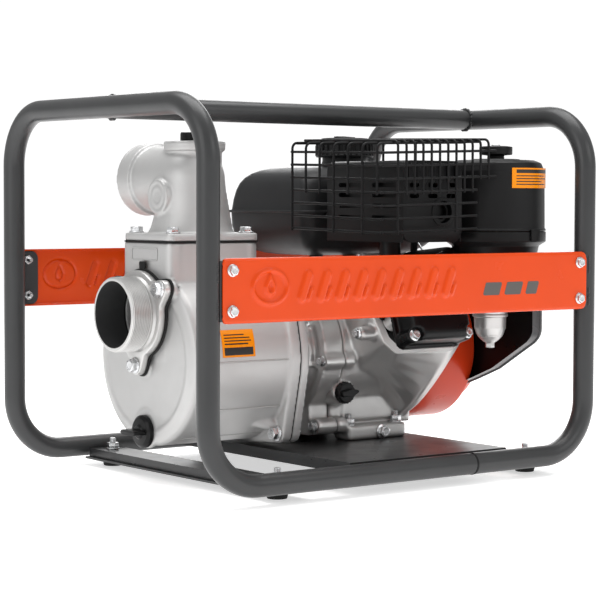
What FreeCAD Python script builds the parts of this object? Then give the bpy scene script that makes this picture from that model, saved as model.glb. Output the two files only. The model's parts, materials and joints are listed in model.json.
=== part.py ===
import FreeCAD, Part
import math
import os
import re
import Sketcher
from FreeCAD import Placement, Rotation, Vector

# Gas engine trash pump in a bent-tube carry frame. Millimetres. +X runs from the suction port to the recoil
# starter, +Z is up, and the origin is on the floor under the middle of the frame.

SIZES = {
    # Carry frame
    "tube_radius": 12.7, "tube_wall": 1.8, "bend_radius": 65.0, "post_x": 280.5, "post_y": 207.8,
    "rail_z": 22.5, "top_z": 436.4, "split_x": 96.0, "split_gap": 0.5, "sleeve_length": 80.0,
    "sleeve_wall": 1.8, "weld_gap": 0.05,
    # Side panels and the tabs that carry them
    "panel_half": 270.5, "panel_bottom": 200.0, "panel_height": 70.0, "panel_face": 221.1,
    "panel_sheet": 2.0, "lip_half": 262.0, "lip_depth": 7.0, "tab_sheet": 3.2, "tab_start": 243.0,
    "tab_end": 273.0, "tab_bottom": 202.5, "tab_height": 65.0, "tab_round": 9.0,
    "panel_bolt_x": 258.5, "panel_hole": 3.2, "panel_bolt_low": 213.5, "panel_bolt_high": 257.0,
    # Base plate, cross channels and feet
    "plate_front": -80.0, "plate_length": 240.0, "plate_half": 199.0, "plate_top": 36.0,
    "plate_sheet": 3.0, "plate_skirt": 13.0, "skirt_half": 194.0,
    "channel_width": 40.0, "channel_top": 20.5, "channel_floor": 8.0, "channel_sheet": 2.5,
    "channel_lip": 6.0, "channel_half": 195.0, "pump_channel_x": -162.0, "engine_channel_x": 217.0,
    "foot_radius": 12.5, "foot_taper": 1.0, "foot_y": 172.0, "foot_bolt_seat": 6.0,
    # Shaft line shared by the pump and the engine
    "shaft_y": 28.0, "shaft_z": 145.0,
    # Pump casing
    "casing_front": -206.5, "casing_radius": 103.5, "casing_wall": 8.0, "flange_front": -72.0,
    "casing_back": -58.5, "cover_front": -57.5, "flange_back": -46.0, "flange_radius": 108.0,
    "ear_y": 78.0, "ear_z": 90.0, "ear_radius": 12.0, "chamber_half": 51.0, "chamber_back": -78.5,
    "chamber_top": 281.5, "cover_cone_front": 74.0, "cover_cone_back": 60.0, "engine_face": -10.0,
    # Suction side
    "port_z": 198.0, "port_radius": 43.95, "port_bore": 39.0, "port_front": -249.8,
    "port_flange_front": -221.0, "port_flange_back": -212.0, "port_boss_front": -210.0,
    "port_flange_radius": 50.0, "lobe_reach": 60.5, "lobe_radius": 11.5, "flap_sheet": 3.5,
    "flap_radius": 42.0,
    # Discharge side
    "outlet_x": -141.7, "outlet_half_x": 64.5, "outlet_half_y": 51.5, "elbow_base": 283.0,
    "elbow_flange": 9.5, "elbow_turn_z": 356.0, "elbow_radius": 40.0, "elbow_bore": 34.5,
    "collar_start": 101.6, "collar_end": 125.4, "collar_radius": 43.2, "filler_x": -137.0,
    "filler_radius": 32.5, "filler_top": 401.0, "filler_ring": 36.5, "filler_bore": 26.0,
    "plug_radius": 31.0, "plug_seat": 5.0, "plug_disc": 3.5, "plug_handle": 36.0,
    "outlet_bolt_x": 52.0, "outlet_bolt_y": 39.0,
    # Drain
    "drain_z": 59.0, "drain_radius": 19.6, "drain_bore": 11.0,
    # Engine
    "case_front": 30.0, "case_back": 150.0, "case_radius": 78.0, "case_near": -19.0, "case_far": 124.0,
    "case_floor": 44.0, "case_wall": 7.0, "foot_near": -41.0, "foot_far": 148.0, "foot_start": 46.0,
    "foot_end": 138.0, "foot_height": 18.0, "foot_depth": 28.0, "stud_x_low": 54.5, "stud_x_high": 130.0,
    "stud_y_near": -28.0, "stud_y_far": 134.0, "cylinder_tilt": 18.0, "cylinder_x": 87.5,
    "bore_radius": 34.0, "block_half_x": 49.0, "block_half": 45.0, "head_start": 130.0,
    "valve_start": 162.0, "valve_end": 200.0, "valve_half_x": 50.0, "valve_half": 43.0,
    "valve_bolt_x": 41.5, "valve_bolt_y": 32.0, "journal_radius": 12.5, "running_gap": 0.05,
    "web_radius": 42.0, "throw": 27.0, "pin_radius": 13.0, "piston_height": 30.0, "bearing_radius": 26.0,
    "flywheel_front": 162.0, "flywheel_radius": 84.0, "shaft_front": -101.0, "shaft_back": 206.0,
    "drum_front": 152.0, "drum_back": 236.0, "drum_radius": 93.0, "drum_sheet": 1.6,
    "shroud_front": 237.5, "shroud_sheet": 2.0, "shroud_rim": 14.0,
    "recoil_front": 240.3, "recoil_back": 262.0, "recoil_radius": 80.0, "reel_radius": 45.0,
    "grip_y": 118.0, "grip_z": 172.0, "rope_radius": 2.0,
    # Intake, exhaust and fuel
    "carb_x": 187.0, "carb_y": -140.0, "cleaner_x": 212.0, "cleaner_y": -121.0, "cleaner_radius": 61.0,
    "cleaner_base": 255.0, "cleaner_ring": 280.0, "cleaner_seam": 294.0, "cleaner_top": 383.0,
    "muffler_low": 290.0, "shield_low": 282.0, "shield_high": 379.0, "shield_x": 38.0,
    "shield_length": 92.0, "shield_near": -150.0, "shield_depth": 145.0, "shield_sheet": 1.5,
    "guard_x": -13.0, "guard_length": 147.5, "guard_near": -172.0, "guard_depth": 175.0,
    "guard_low": 292.0, "guard_high": 398.0, "wire_radius": 1.6, "guard_pitch": 15.2,
    "guard_reach": 178.0, "guard_step": 13.4,
    "tank_x": 30.0, "tank_length": 215.0, "tank_near": 12.0, "tank_width": 173.0, "tank_low": 266.0,
    "tank_high": 373.5, "tank_round": 28.0, "tank_wall": 2.5, "tank_seam": 317.0, "tank_rim": 6.0,
    "cap_x": 145.0, "cap_y": 95.0, "cap_radius": 35.0, "cap_low": 387.0, "cap_high": 414.0,
    "neck_radius": 27.0,
    # Oil filler and throttle lever
    "oil_x": 34.0, "oil_face": -43.0, "oil_z": 97.0, "oil_hole": 8.0, "lever_x": 147.0, "lever_face": -38.0,
    "lever_z": 262.0,
}

doc = FreeCAD.newDocument("TrashPump")
sheet = doc.addObject("Spreadsheet::Sheet", "Sizes")
for row, (alias, value) in enumerate(SIZES.items(), start=1):
    sheet.set("A%d" % row, alias.replace("_", " "))
    sheet.set("B%d" % row, str(value))
    sheet.setAlias("B%d" % row, alias)
doc.recompute()

# Turning a primitive's own +Z axis to a way in the frame.
WAYS = {"+Z": Rotation(), "-Z": Rotation(Vector(1, 0, 0), 180), "+X": Rotation(Vector(0, 1, 0), 90),
        "-X": Rotation(Vector(0, 1, 0), -90), "+Y": Rotation(Vector(1, 0, 0), -90),
        "-Y": Rotation(Vector(1, 0, 0), 90)}
# Turning a revolved body's own +X axis to a way in the frame.
SPINS = {"+X": Rotation(), "-X": Rotation(Vector(0, 0, 1), 180), "+Z": Rotation(Vector(0, 1, 0), -90),
         "+Y": Rotation(Vector(0, 0, 1), 90), "-Y": Rotation(Vector(0, 0, 1), -90)}
# Turning an outline drawn in (y, z) so that it is padded along +X.
FACE_X = Rotation(0.5, 0.5, 0.5, 0.5)

pieces = []


def ref(text):
    """Turn the alias names in an expression into references to the sheet."""
    return re.sub(r"[a-z][a-z_]{2,}", lambda found: "Sizes." + found.group(), str(text))


def size(text):
    """Work an expression out with the sheet's present values."""
    return float(worked_out(str(text)))


def worked_out(text):
    """Value of a sum of products of aliases and numbers, without any other syntax."""
    total = 0.0
    for sign, term in re.findall(r"([+-]?)\s*([^+\-\s][^+\-]*)", text):
        product = 1.0
        for step in re.findall(r"([*/]?)\s*([a-z_.0-9]+)", term):
            factor = sheet.get(step[1]) if step[1][0].isalpha() else float(step[1])
            product = product / factor if step[0] == "/" else product * factor
        total += -product if sign == "-" else product
    return total


def bind(obj, prop, value):
    """Drive a property from the sheet."""
    obj.setExpression(prop, ref(value))


def put(obj, at, turn=Rotation()):
    """Place an object, with its base point driven from the sheet."""
    obj.Placement = Placement(Vector(), turn)
    for axis, value in zip("xyz", at):
        bind(obj, "Placement.Base." + axis, value)
    return obj


def box(name, lengths, at):
    """Box from its lowest corner."""
    obj = doc.addObject("Part::Box", name)
    for prop, value in zip(("Length", "Width", "Height"), lengths):
        bind(obj, prop, value)
    return put(obj, at)


def rod(name, radius, length, at, way="+Z"):
    """Cylinder that starts at a point and runs one way."""
    obj = doc.addObject("Part::Cylinder", name)
    bind(obj, "Radius", radius)
    bind(obj, "Height", length)
    return put(obj, at, WAYS[way])


def taper(name, start_radius, end_radius, length, at, way="+Z"):
    """Cone that starts at a point and runs one way."""
    obj = doc.addObject("Part::Cone", name)
    bind(obj, "Radius1", start_radius)
    bind(obj, "Radius2", end_radius)
    bind(obj, "Height", length)
    return put(obj, at, WAYS[way])


def hexagon(name, corner_radius, length, at, way="+Z"):
    """Hexagonal prism, given the radius over its corners."""
    obj = doc.addObject("Part::Prism", name)
    obj.Polygon = 6
    bind(obj, "Circumradius", corner_radius)
    bind(obj, "Height", length)
    return put(obj, at, WAYS[way])


def fuse(name, *parts):
    obj = doc.addObject("Part::MultiFuse", name)
    obj.Shapes = list(parts)
    obj.Refine = True
    return obj


def cut(name, base, *tools):
    obj = doc.addObject("Part::Cut", name)
    obj.Base = base
    obj.Tool = tools[0] if len(tools) == 1 else fuse(name + "_tools", *tools)
    return obj


def group(name, parts):
    obj = doc.addObject("Part::Compound", name)
    obj.Links = list(parts)
    return obj


def rounded(name, base, radius, wanted):
    """Fillet the edges of a shape that a test picks out."""
    doc.recompute()
    obj = doc.addObject("Part::Fillet", name)
    obj.Base = base
    obj.Edges = [(i, size(radius), size(radius)) for i, edge in enumerate(base.Shape.Edges, start=1)
                 if wanted(edge)]
    return obj


def along(axis):
    """Test for straight edges that run along one axis."""
    def wanted(edge):
        if edge.Curve.TypeId != "Part::GeomLine":
            return False
        return abs(abs(edge.Curve.Direction.dot(axis)) - 1) < 1e-6
    return wanted


def everywhere(edge):
    return True


def keep(obj, label):
    """Make an object one of the kept sub-parts."""
    obj.Label = label
    pieces.append(obj)
    return obj


def datum(body, role):
    return next(feature for feature in body.Origin.OriginFeatures if feature.Role == role)


def outline(body, name, role, points):
    """Closed sketch of straight lines whose corners are driven from the sheet."""
    sketch = body.newObject("Sketcher::SketchObject", name)
    sketch.AttachmentSupport = [(datum(body, role), "")]
    sketch.MapMode = "FlatFace"
    corners = [Vector(size(u), size(v), 0) for u, v in points]
    for i, corner in enumerate(corners):
        sketch.addGeometry(Part.LineSegment(corner, corners[(i + 1) % len(corners)]), False)
    for i in range(len(corners)):
        sketch.addConstraint(Sketcher.Constraint("Coincident", i, 2, (i + 1) % len(corners), 1))
    for i, (u, v) in enumerate(points):
        for kind, text, value in (("DistanceX", u, corners[i].x), ("DistanceY", v, corners[i].y)):
            index = sketch.addConstraint(Sketcher.Constraint(kind, -1, 1, i, 1, value))
            sketch.setExpression("Constraints[%d]" % index, ref(text))
    return sketch


def turned(name, points, at, way="+X"):
    """Body of revolution from (along, radius) corners, about an axis that runs one way."""
    body = doc.addObject("PartDesign::Body", name)
    sketch = outline(body, name + "_profile", "XZ_Plane", points)
    turn = body.newObject("PartDesign::Revolution", name + "_turn")
    turn.Profile = sketch
    turn.ReferenceAxis = (datum(body, "X_Axis"), [""])
    turn.Angle = 360
    return put(body, at, SPINS[way])


def plate(name, points, thickness, at, turn=Rotation()):
    """Body padded from a closed outline."""
    body = doc.addObject("PartDesign::Body", name)
    sketch = outline(body, name + "_outline", "XY_Plane", points)
    pad = body.newObject("PartDesign::Pad", name + "_pad")
    pad.Profile = sketch
    bind(pad, "Length", thickness)
    return put(body, at, turn)


def on_cylinder(obj):
    """Set a shape that is drawn about the tilted cylinder's axis into the frame."""
    obj.Placement = Placement(Vector(), Rotation(Vector(1, 0, 0), 45))
    bind(obj, "Placement.Base.x", "cylinder_x")
    bind(obj, "Placement.Base.y", "shaft_y")
    bind(obj, "Placement.Base.z", "shaft_z")
    bind(obj, "Placement.Rotation.Angle", "90 - cylinder_tilt")
    return obj


def screw(name, at, way, across, head, shank, length):
    """Flanged hex screw. The head stands off the seat at `at`, and the shank goes the way it points."""
    back = {"+": "-", "-": "+"}[way[0]] + way[1]
    seat = rod(name + "_flange", across * 0.68, 1.5, at, back)
    crown = hexagon(name + "_hex", across * 0.577, head, at, back)
    shaft = rod(name + "_shank", shank, length, at, way)
    return fuse(name, seat, crown, shaft)


# ---------------------------------------------------------------- carry frame
def bent_path(name, corners, bend):
    """Wire of straight runs joined by tangent arcs."""
    edges = []
    start = corners[0]
    for before, corner, after in zip(corners, corners[1:], corners[2:]):
        into = (corner - before).normalize()
        out = (after - corner).normalize()
        half_turn = into.getAngle(out) / 2
        setback = bend * math.tan(half_turn)
        enter = corner - into * setback
        leave = corner + out * setback
        inward = (out - into).normalize()
        middle = corner + inward * (bend / math.cos(half_turn) - bend)
        edges.append(Part.LineSegment(start, enter).toShape())
        edges.append(Part.Arc(enter, middle, leave).toShape())
        start = leave
    edges.append(Part.LineSegment(start, corners[-1]).toShape())
    obj = doc.addObject("Part::Feature", name)
    obj.Shape = Part.Wire(edges)
    return obj


def swept(name, path, radius, start, way):
    ring = doc.addObject("Part::Circle", name + "_ring")
    bind(ring, "Radius", radius)
    put(ring, start, WAYS[way])
    obj = doc.addObject("Part::Sweep", name)
    obj.Sections = [ring]
    obj.Spine = (path, ["Edge%d" % i for i in range(1, len(path.Shape.Edges) + 1)])
    obj.Solid = True
    obj.Frenet = False
    return obj


def hoop(name, side):
    """Half of the frame: a cross tube at the top, two posts and the rails up to the joint."""
    start_text = "split_x + split_gap" if side > 0 else "split_x - split_gap"
    start_x = size(start_text)
    post_x = side * size("post_x")
    post_y = size("post_y")
    low = size("rail_z")
    high = size("top_z")
    corners = [Vector(start_x, -post_y, low), Vector(post_x, -post_y, low), Vector(post_x, -post_y, high),
               Vector(post_x, post_y, high), Vector(post_x, post_y, low), Vector(start_x, post_y, low)]
    path = bent_path(name + "_path", corners, size("bend_radius"))
    start = (start_text, "-post_y", "rail_z")
    way = "+X" if side > 0 else "-X"
    outer = swept(name + "_outer", path, "tube_radius", start, way)
    inner = swept(name + "_inner", path, "tube_radius - tube_wall", start, way)
    keep(cut(name, outer, inner), name)
    return outer


pump_hoop = hoop("frame_hoop_pump", -1)
engine_hoop = hoop("frame_hoop_engine", 1)


def carry_bar():
    """Tube between the two top cross tubes, with its ends shaped to sit against them."""
    bar = rod("bar_outer", "tube_radius", "post_x * 2", ("-post_x", 0, "top_z"), "+X")
    bore = rod("bar_bore", "tube_radius - tube_wall", "post_x * 2", ("-post_x", 0, "top_z"), "+X")
    ends = [rod("bar_end_%d" % i, "tube_radius + weld_gap", 80, (x, -40, "top_z"), "+Y")
            for i, x in enumerate(("-post_x", "post_x"))]
    keep(cut("carry_bar", bar, bore, *ends), "carry_bar")


def rail_sleeves():
    """Inner tubes that join the two halves of each bottom rail."""
    sleeves = []
    for tag, y in (("near", "-post_y"), ("far", "post_y")):
        start = ("split_x - sleeve_length / 2", y, "rail_z")
        outer = rod("sleeve_outer_" + tag, "tube_radius - tube_wall - weld_gap", "sleeve_length", start, "+X")
        bore = rod("sleeve_bore_" + tag, "tube_radius - tube_wall - sleeve_wall", "sleeve_length", start, "+X")
        sleeves.append(cut("sleeve_" + tag, outer, bore))
    keep(group("rail_sleeves", sleeves), "rail_sleeves")


def panel_bolt_places():
    for side, y_sign in (("near", "-"), ("far", "")):
        for x_sign in ("-", ""):
            for z in ("panel_bolt_low", "panel_bolt_high"):
                yield side, y_sign, (x_sign + "panel_bolt_x", z)


def panel_tabs():
    """Plates welded to the posts behind the side panels."""
    tabs = []
    for side, y_low in (("near", "panel_sheet - panel_face"), ("far", "panel_face - panel_sheet - tab_sheet")):
        for end, x_low in (("pump", "-tab_end"), ("engine", "tab_start")):
            name = "tab_%s_%s" % (side, end)
            blank = box(name + "_blank", ("tab_end - tab_start", "tab_sheet", "tab_height"),
                        (x_low, y_low, "tab_bottom"))
            inner_x = size("tab_start")

            def inner_corner(edge):
                return along(Vector(0, 1, 0))(edge) and abs(abs(edge.Vertexes[0].X) - inner_x) < 0.1
            shaped = rounded(name + "_rounded", blank, "tab_round", inner_corner)
            post_x = "-post_x" if end == "pump" else "post_x"
            post_y = "-post_y" if side == "near" else "post_y"
            tools = [rod(name + "_post", "tube_radius + weld_gap", 100, (post_x, post_y, 190))]
            bolt_x = "-panel_bolt_x" if end == "pump" else "panel_bolt_x"
            for level in ("panel_bolt_low", "panel_bolt_high"):
                tools.append(rod(name + "_" + level, "panel_hole", "tab_sheet + 4", (bolt_x, y_low + " - 2", level), "+Y"))
            tabs.append(cut(name, shaped, *tools))
    keep(group("panel_tabs", tabs), "panel_tabs")


def side_panel(side):
    """Pressed sheet with its long edges folded in."""
    name = "side_panel_" + side
    near = side == "near"
    face_low = "-panel_face" if near else "panel_face - panel_sheet"
    lip_low = "-panel_face" if near else "panel_face - lip_depth"
    sheet_body = box(name + "_sheet", ("panel_half * 2", "panel_sheet", "panel_height"),
                     ("-panel_half", face_low, "panel_bottom"))
    lips = [box(name + "_lip_%d" % i, ("lip_half * 2", "lip_depth", "panel_sheet"), ("-lip_half", lip_low, z))
            for i, z in enumerate(("panel_bottom", "panel_bottom + panel_height - panel_sheet"))]
    holes = [rod("%s_hole_%d" % (name, i), "panel_hole", 10, (x, face_low + " - 4", z), "+Y")
             for i, (_, _, (x, z)) in enumerate(place for place in panel_bolt_places() if place[0] == side)]
    keep(cut(name, fuse(name + "_pressed", sheet_body, *lips), *holes), name)


def panel_fasteners():
    """Screws through the panels and tabs, each with its nut behind the tab."""
    screws = []
    for i, (side, y_sign, (x, z)) in enumerate(panel_bolt_places()):
        near = side == "near"
        name = "panel_screw_%d" % i
        way = "+Y" if near else "-Y"
        body = screw(name + "_screw", (x, y_sign + "panel_face", z), way, 10, 5, 3, 13)
        nut_seat = "0 - panel_face + panel_sheet + tab_sheet" if near else "panel_face - panel_sheet - tab_sheet"
        nut = hexagon(name + "_nut", 5.77, 5, (x, nut_seat, z), way)
        screws.append(fuse(name, body, nut))
    keep(group("panel_fasteners", screws), "panel_fasteners")


def stud_places():
    for x in ("stud_x_low", "stud_x_high"):
        for y in ("stud_y_near", "stud_y_far"):
            yield x, y


def foot_places():
    for x in ("pump_channel_x", "engine_channel_x"):
        for y in ("-foot_y", "foot_y"):
            yield x, y


def base_plate():
    """Folded plate that carries the engine, resting on the two rails."""
    top = box("plate_sheet_top", ("plate_length", "plate_half * 2", "plate_sheet"),
              ("plate_front", "-plate_half", "plate_top - plate_sheet"))
    skirts = [box("plate_skirt_%d" % i, ("plate_sheet", "skirt_half * 2", "plate_skirt"),
                  (x, "-skirt_half", "plate_top - plate_skirt"))
              for i, x in enumerate(("plate_front", "plate_front + plate_length - plate_sheet"))]
    holes = [rod("plate_hole_%d" % i, 4.5, 10, (x, y, "plate_top - 6")) for i, (x, y) in enumerate(stud_places())]
    keep(cut("base_plate", fuse("plate_folded", top, *skirts), *holes), "base_plate")


def cross_channels():
    """Two folded channels with turned-out lips, welded between the rails over the feet."""
    half = "channel_width / 2"
    inner = "channel_width / 2 - channel_sheet"
    depth = "channel_top - channel_floor"
    points = [("-" + half + " - channel_lip", 0), ("-" + half + " + channel_sheet", 0),
              ("-channel_width / 2 + channel_sheet", depth + " - channel_sheet"),
              (inner, depth + " - channel_sheet"), (inner, 0), (half + " + channel_lip", 0),
              (half + " + channel_lip", "channel_sheet"), (half, "channel_sheet"), (half, depth),
              ("-" + half, depth), ("-" + half, "channel_sheet"),
              ("-" + half + " - channel_lip", "channel_sheet")]
    channels = []
    for tag, x in (("pump", "pump_channel_x"), ("engine", "engine_channel_x")):
        strip = plate("channel_strip_" + tag, points, "channel_half * 2", (x, "channel_half", "channel_floor"),
                      Rotation(Vector(1, 0, 0), 90))
        rails = [rod("channel_rail_%s_%d" % (tag, i), "tube_radius + weld_gap", "channel_width * 3",
                     (x + " - channel_width * 1.5", y, "rail_z"), "+X")
                 for i, y in enumerate(("-post_y", "post_y"))]
        holes = [rod("channel_hole_%s_%d" % (tag, i), 4.5, 20, (x, y, "channel_floor"))
                 for i, y in enumerate(("-foot_y", "foot_y"))]
        channels.append(cut("channel_" + tag, strip, *rails, *holes))
    keep(group("cross_channels", channels), "cross_channels")


def rubber_feet():
    feet = []
    for i, (x, y) in enumerate(foot_places()):
        pad = taper("foot_pad_%d" % i, "foot_radius - foot_taper", "foot_radius", "channel_top - channel_sheet",
                    (x, y, 0))
        hole = rod("foot_hole_%d" % i, 4.3, 20, (x, y, "foot_bolt_seat"))
        feet.append(cut("foot_%d" % i, pad, hole))
    keep(group("rubber_feet", feet), "rubber_feet")


def mount_bolts():
    """Foot screws with nuts on the channels, and studs with nuts that hold the engine to its plate."""
    bolts = []
    for i, (x, y) in enumerate(foot_places()):
        shank = rod("foot_shank_%d" % i, 4, "channel_top - foot_bolt_seat + 9", (x, y, "foot_bolt_seat"))
        nut = hexagon("foot_nut_%d" % i, 7.5, 6.5, (x, y, "channel_top"))
        bolts.append(fuse("foot_bolt_%d" % i, shank, nut))
    for i, (x, y) in enumerate(stud_places()):
        head = hexagon("stud_head_%d" % i, 7.5, 5, (x, y, "plate_top - plate_sheet - 5"))
        shank = rod("stud_shank_%d" % i, 4, "foot_height + plate_sheet + 15", (x, y, "plate_top - plate_sheet"))
        washer = rod("stud_washer_%d" % i, 8.5, 1.6, (x, y, "plate_top + foot_height"))
        nut = hexagon("stud_nut_%d" % i, 7.5, 7, (x, y, "plate_top + foot_height + 1.6"))
        bolts.append(fuse("stud_%d" % i, head, shank, washer, nut))
    keep(group("mount_bolts", bolts), "mount_bolts")


carry_bar()
rail_sleeves()
panel_tabs()
side_panel("near")
side_panel("far")
panel_fasteners()
base_plate()
cross_channels()
rubber_feet()
mount_bolts()


# ---------------------------------------------------------------- pump
def lobe_places():
    """Centres of the three suction flange screws, one below and two beside the top."""
    for turn in (-90, 30, 150):
        reach = size("lobe_reach")
        yield reach * math.cos(math.radians(turn)), reach * math.sin(math.radians(turn))


def lobed(name, front, depth):
    """Round plate with three screw lobes, about the suction port's axis."""
    disc = rod(name + "_disc", "port_flange_radius", depth, (front, "shaft_y", "port_z"), "+X")
    lobes = [rod("%s_lobe_%d" % (name, i), "lobe_radius", depth,
                 (front, "shaft_y + %.3f" % y, "port_z + %.3f" % z), "+X")
             for i, (y, z) in enumerate(lobe_places())]
    return fuse(name, disc, *lobes)


def lobe_holes(name, front, depth, radius):
    return [rod("%s_%d" % (name, i), radius, depth, (front, "shaft_y + %.3f" % y, "port_z + %.3f" % z), "+X")
            for i, (y, z) in enumerate(lobe_places())]


def ear_places():
    for y in ("shaft_y - ear_y", "shaft_y + ear_y"):
        for z in ("shaft_z - ear_z", "shaft_z + ear_z"):
            yield y, z


def eared(name, front, depth):
    """Round flange with four screw ears, about the shaft."""
    disc = rod(name + "_disc", "flange_radius", depth, (front, "shaft_y", "shaft_z"), "+X")
    ears = [rod("%s_ear_%d" % (name, i), "ear_radius", depth, (front, y, z), "+X")
            for i, (y, z) in enumerate(ear_places())]
    return fuse(name, disc, *ears)


def outlet_bolt_places():
    for x in ("outlet_x - outlet_bolt_x", "outlet_x + outlet_bolt_x"):
        for y in ("shaft_y - outlet_bolt_y", "shaft_y + outlet_bolt_y"):
            yield x, y


def pump_casing():
    """Hollow casting: a barrel on the shaft line, the chamber under the outlet, and the rear flange."""
    barrel = turned("casing_barrel", [
        ("casing_front", 0), ("casing_front", "casing_radius - 10"), ("casing_front + 3", "casing_radius - 3"),
        ("casing_front + 9", "casing_radius"), ("flange_front", "casing_radius"), ("flange_front", 0)],
        (0, "shaft_y", "shaft_z"))
    chamber = box("casing_chamber", ("chamber_back - casing_front + 0.5", "chamber_half * 2", "chamber_top - shaft_z"),
                  ("casing_front - 0.5", "shaft_y - chamber_half", "shaft_z"))
    chamber = rounded("casing_chamber_round", chamber, 9, along(Vector(0, 0, 1)))
    rear = eared("casing_rear", "flange_front", "casing_back - flange_front")
    boss = lobed("casing_boss", "port_boss_front", "casing_front - port_boss_front + 5")
    ring = rod("casing_drain_ring", "drain_radius + 4", 6, ("casing_front - 0.8", "shaft_y", "drain_z + 3"), "+X")
    outer = fuse("casing_outer", barrel, chamber, rear, boss, ring)
    hollow = rod("casing_hollow", "casing_radius - casing_wall", "casing_back - casing_front",
                 ("casing_front + casing_wall", "shaft_y", "shaft_z"), "+X")
    upper = box("casing_upper", ("chamber_back - casing_front - casing_wall * 2", "chamber_half * 2 - casing_wall * 2",
                                 "chamber_top - shaft_z - casing_wall"),
                ("casing_front + casing_wall", "shaft_y - chamber_half + casing_wall", "shaft_z"))
    tools = [hollow, upper,
             rod("casing_outlet", "elbow_bore", 30, ("outlet_x", "shaft_y", "chamber_top - 20")),
             rod("casing_inlet", "port_bore", 30, ("port_boss_front - 1", "shaft_y", "port_z"), "+X"),
             rod("casing_drain", "drain_bore", 30, ("casing_front - 8", "shaft_y", "drain_z"), "+X")]
    tools += lobe_holes("casing_inlet_hole", "port_boss_front - 1", 14, 5)
    tools += [rod("casing_ear_hole_%d" % i, 5.2, 20, ("flange_front - 2", y, z), "+X")
              for i, (y, z) in enumerate(ear_places())]
    tools += [rod("casing_outlet_hole_%d" % i, 4, 16, (x, y, "chamber_top - 7.5"))
              for i, (x, y) in enumerate(outlet_bolt_places())]
    keep(cut("pump_casing", outer, *tools), "pump_casing")


def casing_back_cover():
    """Rear cover that carries the shaft seal and bolts the pump to the engine."""
    cone = turned("cover_cone", [
        ("cover_front", 0), ("cover_front", "casing_radius - casing_wall - 1"),
        ("flange_back", "casing_radius - casing_wall - 1"), ("flange_back", "cover_cone_front"),
        ("engine_face", "cover_cone_back"), ("engine_face", 0)], (0, "shaft_y", "shaft_z"))
    flange = eared("cover_flange", "cover_front", "flange_back - cover_front")
    tools = [rod("cover_shaft_hole", 24.5, 60, ("cover_front - 1", "shaft_y", "shaft_z"), "+X"),
             taper("cover_hollow", "cover_cone_front - 8", "cover_cone_back - 8", "engine_face - flange_back + 0.1",
                   ("flange_back", "shaft_y", "shaft_z"), "+X")]
    tools += [rod("cover_ear_hole_%d" % i, 5.2, 30, ("cover_front - 5", y, z), "+X")
              for i, (y, z) in enumerate(ear_places())]
    keep(cut("casing_back_cover", fuse("cover_outer", cone, flange), *tools), "casing_back_cover")


def casing_gasket():
    ring = eared("gasket_outer", "casing_back", "cover_front - casing_back")
    tools = [rod("gasket_bore", "casing_radius - casing_wall", 5, ("casing_back - 2", "shaft_y", "shaft_z"), "+X")]
    tools += [rod("gasket_hole_%d" % i, 5.2, 5, ("casing_back - 2", y, z), "+X")
              for i, (y, z) in enumerate(ear_places())]
    keep(cut("casing_gasket", ring, *tools), "casing_gasket")


def pump_bolts():
    """Screws through the four rear ears and the three suction lobes."""
    screws = [screw("ear_screw_%d" % i, ("flange_front", y, z), "+X", 15, 8, 5, 34)
              for i, (y, z) in enumerate(ear_places())]
    screws += [screw("lobe_screw_%d" % i, ("port_flange_front", "shaft_y + %.3f" % y, "port_z + %.3f" % z),
                     "+X", 15, 8, 4.8, 20) for i, (y, z) in enumerate(lobe_places())]
    keep(group("pump_bolts", screws), "pump_bolts")


def volute():
    """Cast insert that gathers the water round the impeller and lets it out at the top."""
    ring = turned("volute_ring", [("-112", 45), ("-112", 84), ("-62", 84), ("-62", 66), ("-106", 66), ("-106", 45)],
                  (0, "shaft_y", "shaft_z"))
    gate = box("volute_gate", (40, 60, 60), (-104, "shaft_y - 10", "shaft_z + 50"))
    keep(cut("volute", ring, gate), "volute")


def impeller():
    """Open impeller with curved vanes, on the front end of the crankshaft."""
    hub = turned("impeller_hub", [
        ("-104", "journal_radius"), ("-104", 16), ("-84", 22), ("-78", 60), ("-74", 60), ("-74", 18),
        ("-66", 18), ("-66", "journal_radius")], (0, "shaft_y", "shaft_z"))
    vanes = []
    for i in range(3):
        vane = doc.addObject("Part::Cylinder", "impeller_vane_%d" % i)
        vane.Radius = 34
        vane.Height = 17
        vane.Angle = 120
        inner = doc.addObject("Part::Cylinder", "impeller_vane_inner_%d" % i)
        inner.Radius = 29
        inner.Height = 17
        inner.Angle = 120
        blade = cut("impeller_blade_%d" % i, vane, inner)
        angle = math.radians(120 * i)
        centre = (-95, "shaft_y + %.3f" % (26 * math.cos(angle)), "shaft_z + %.3f" % (26 * math.sin(angle)))
        turn = Rotation(Vector(1, 0, 0), 120 * i - 60) * Rotation(0.5, 0.5, 0.5, 0.5)
        vanes.append(put(blade, centre, turn))
    bore = rod("impeller_bore", "journal_radius", 60, (-110, "shaft_y", "shaft_z"), "+X")
    keep(cut("impeller", fuse("impeller_cast", hub, *vanes), bore), "impeller")


def seals():
    """Mechanical seal: a seat pressed in the cover and a ring that turns with the shaft."""
    seat = turned("seal_seat", [("cover_front", 14), ("cover_front", 24.45), ("cover_front + 8", 24.45),
                                ("cover_front + 8", 14)], (0, "shaft_y", "shaft_z"))
    keep(seat, "seal_seat")
    rotor = turned("seal_rotor", [("-65.5", "journal_radius"), ("-65.5", 20), ("cover_front - 0.1", 18),
                                  ("cover_front - 0.1", "journal_radius")], (0, "shaft_y", "shaft_z"))
    keep(rotor, "seal_rotor")


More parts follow.
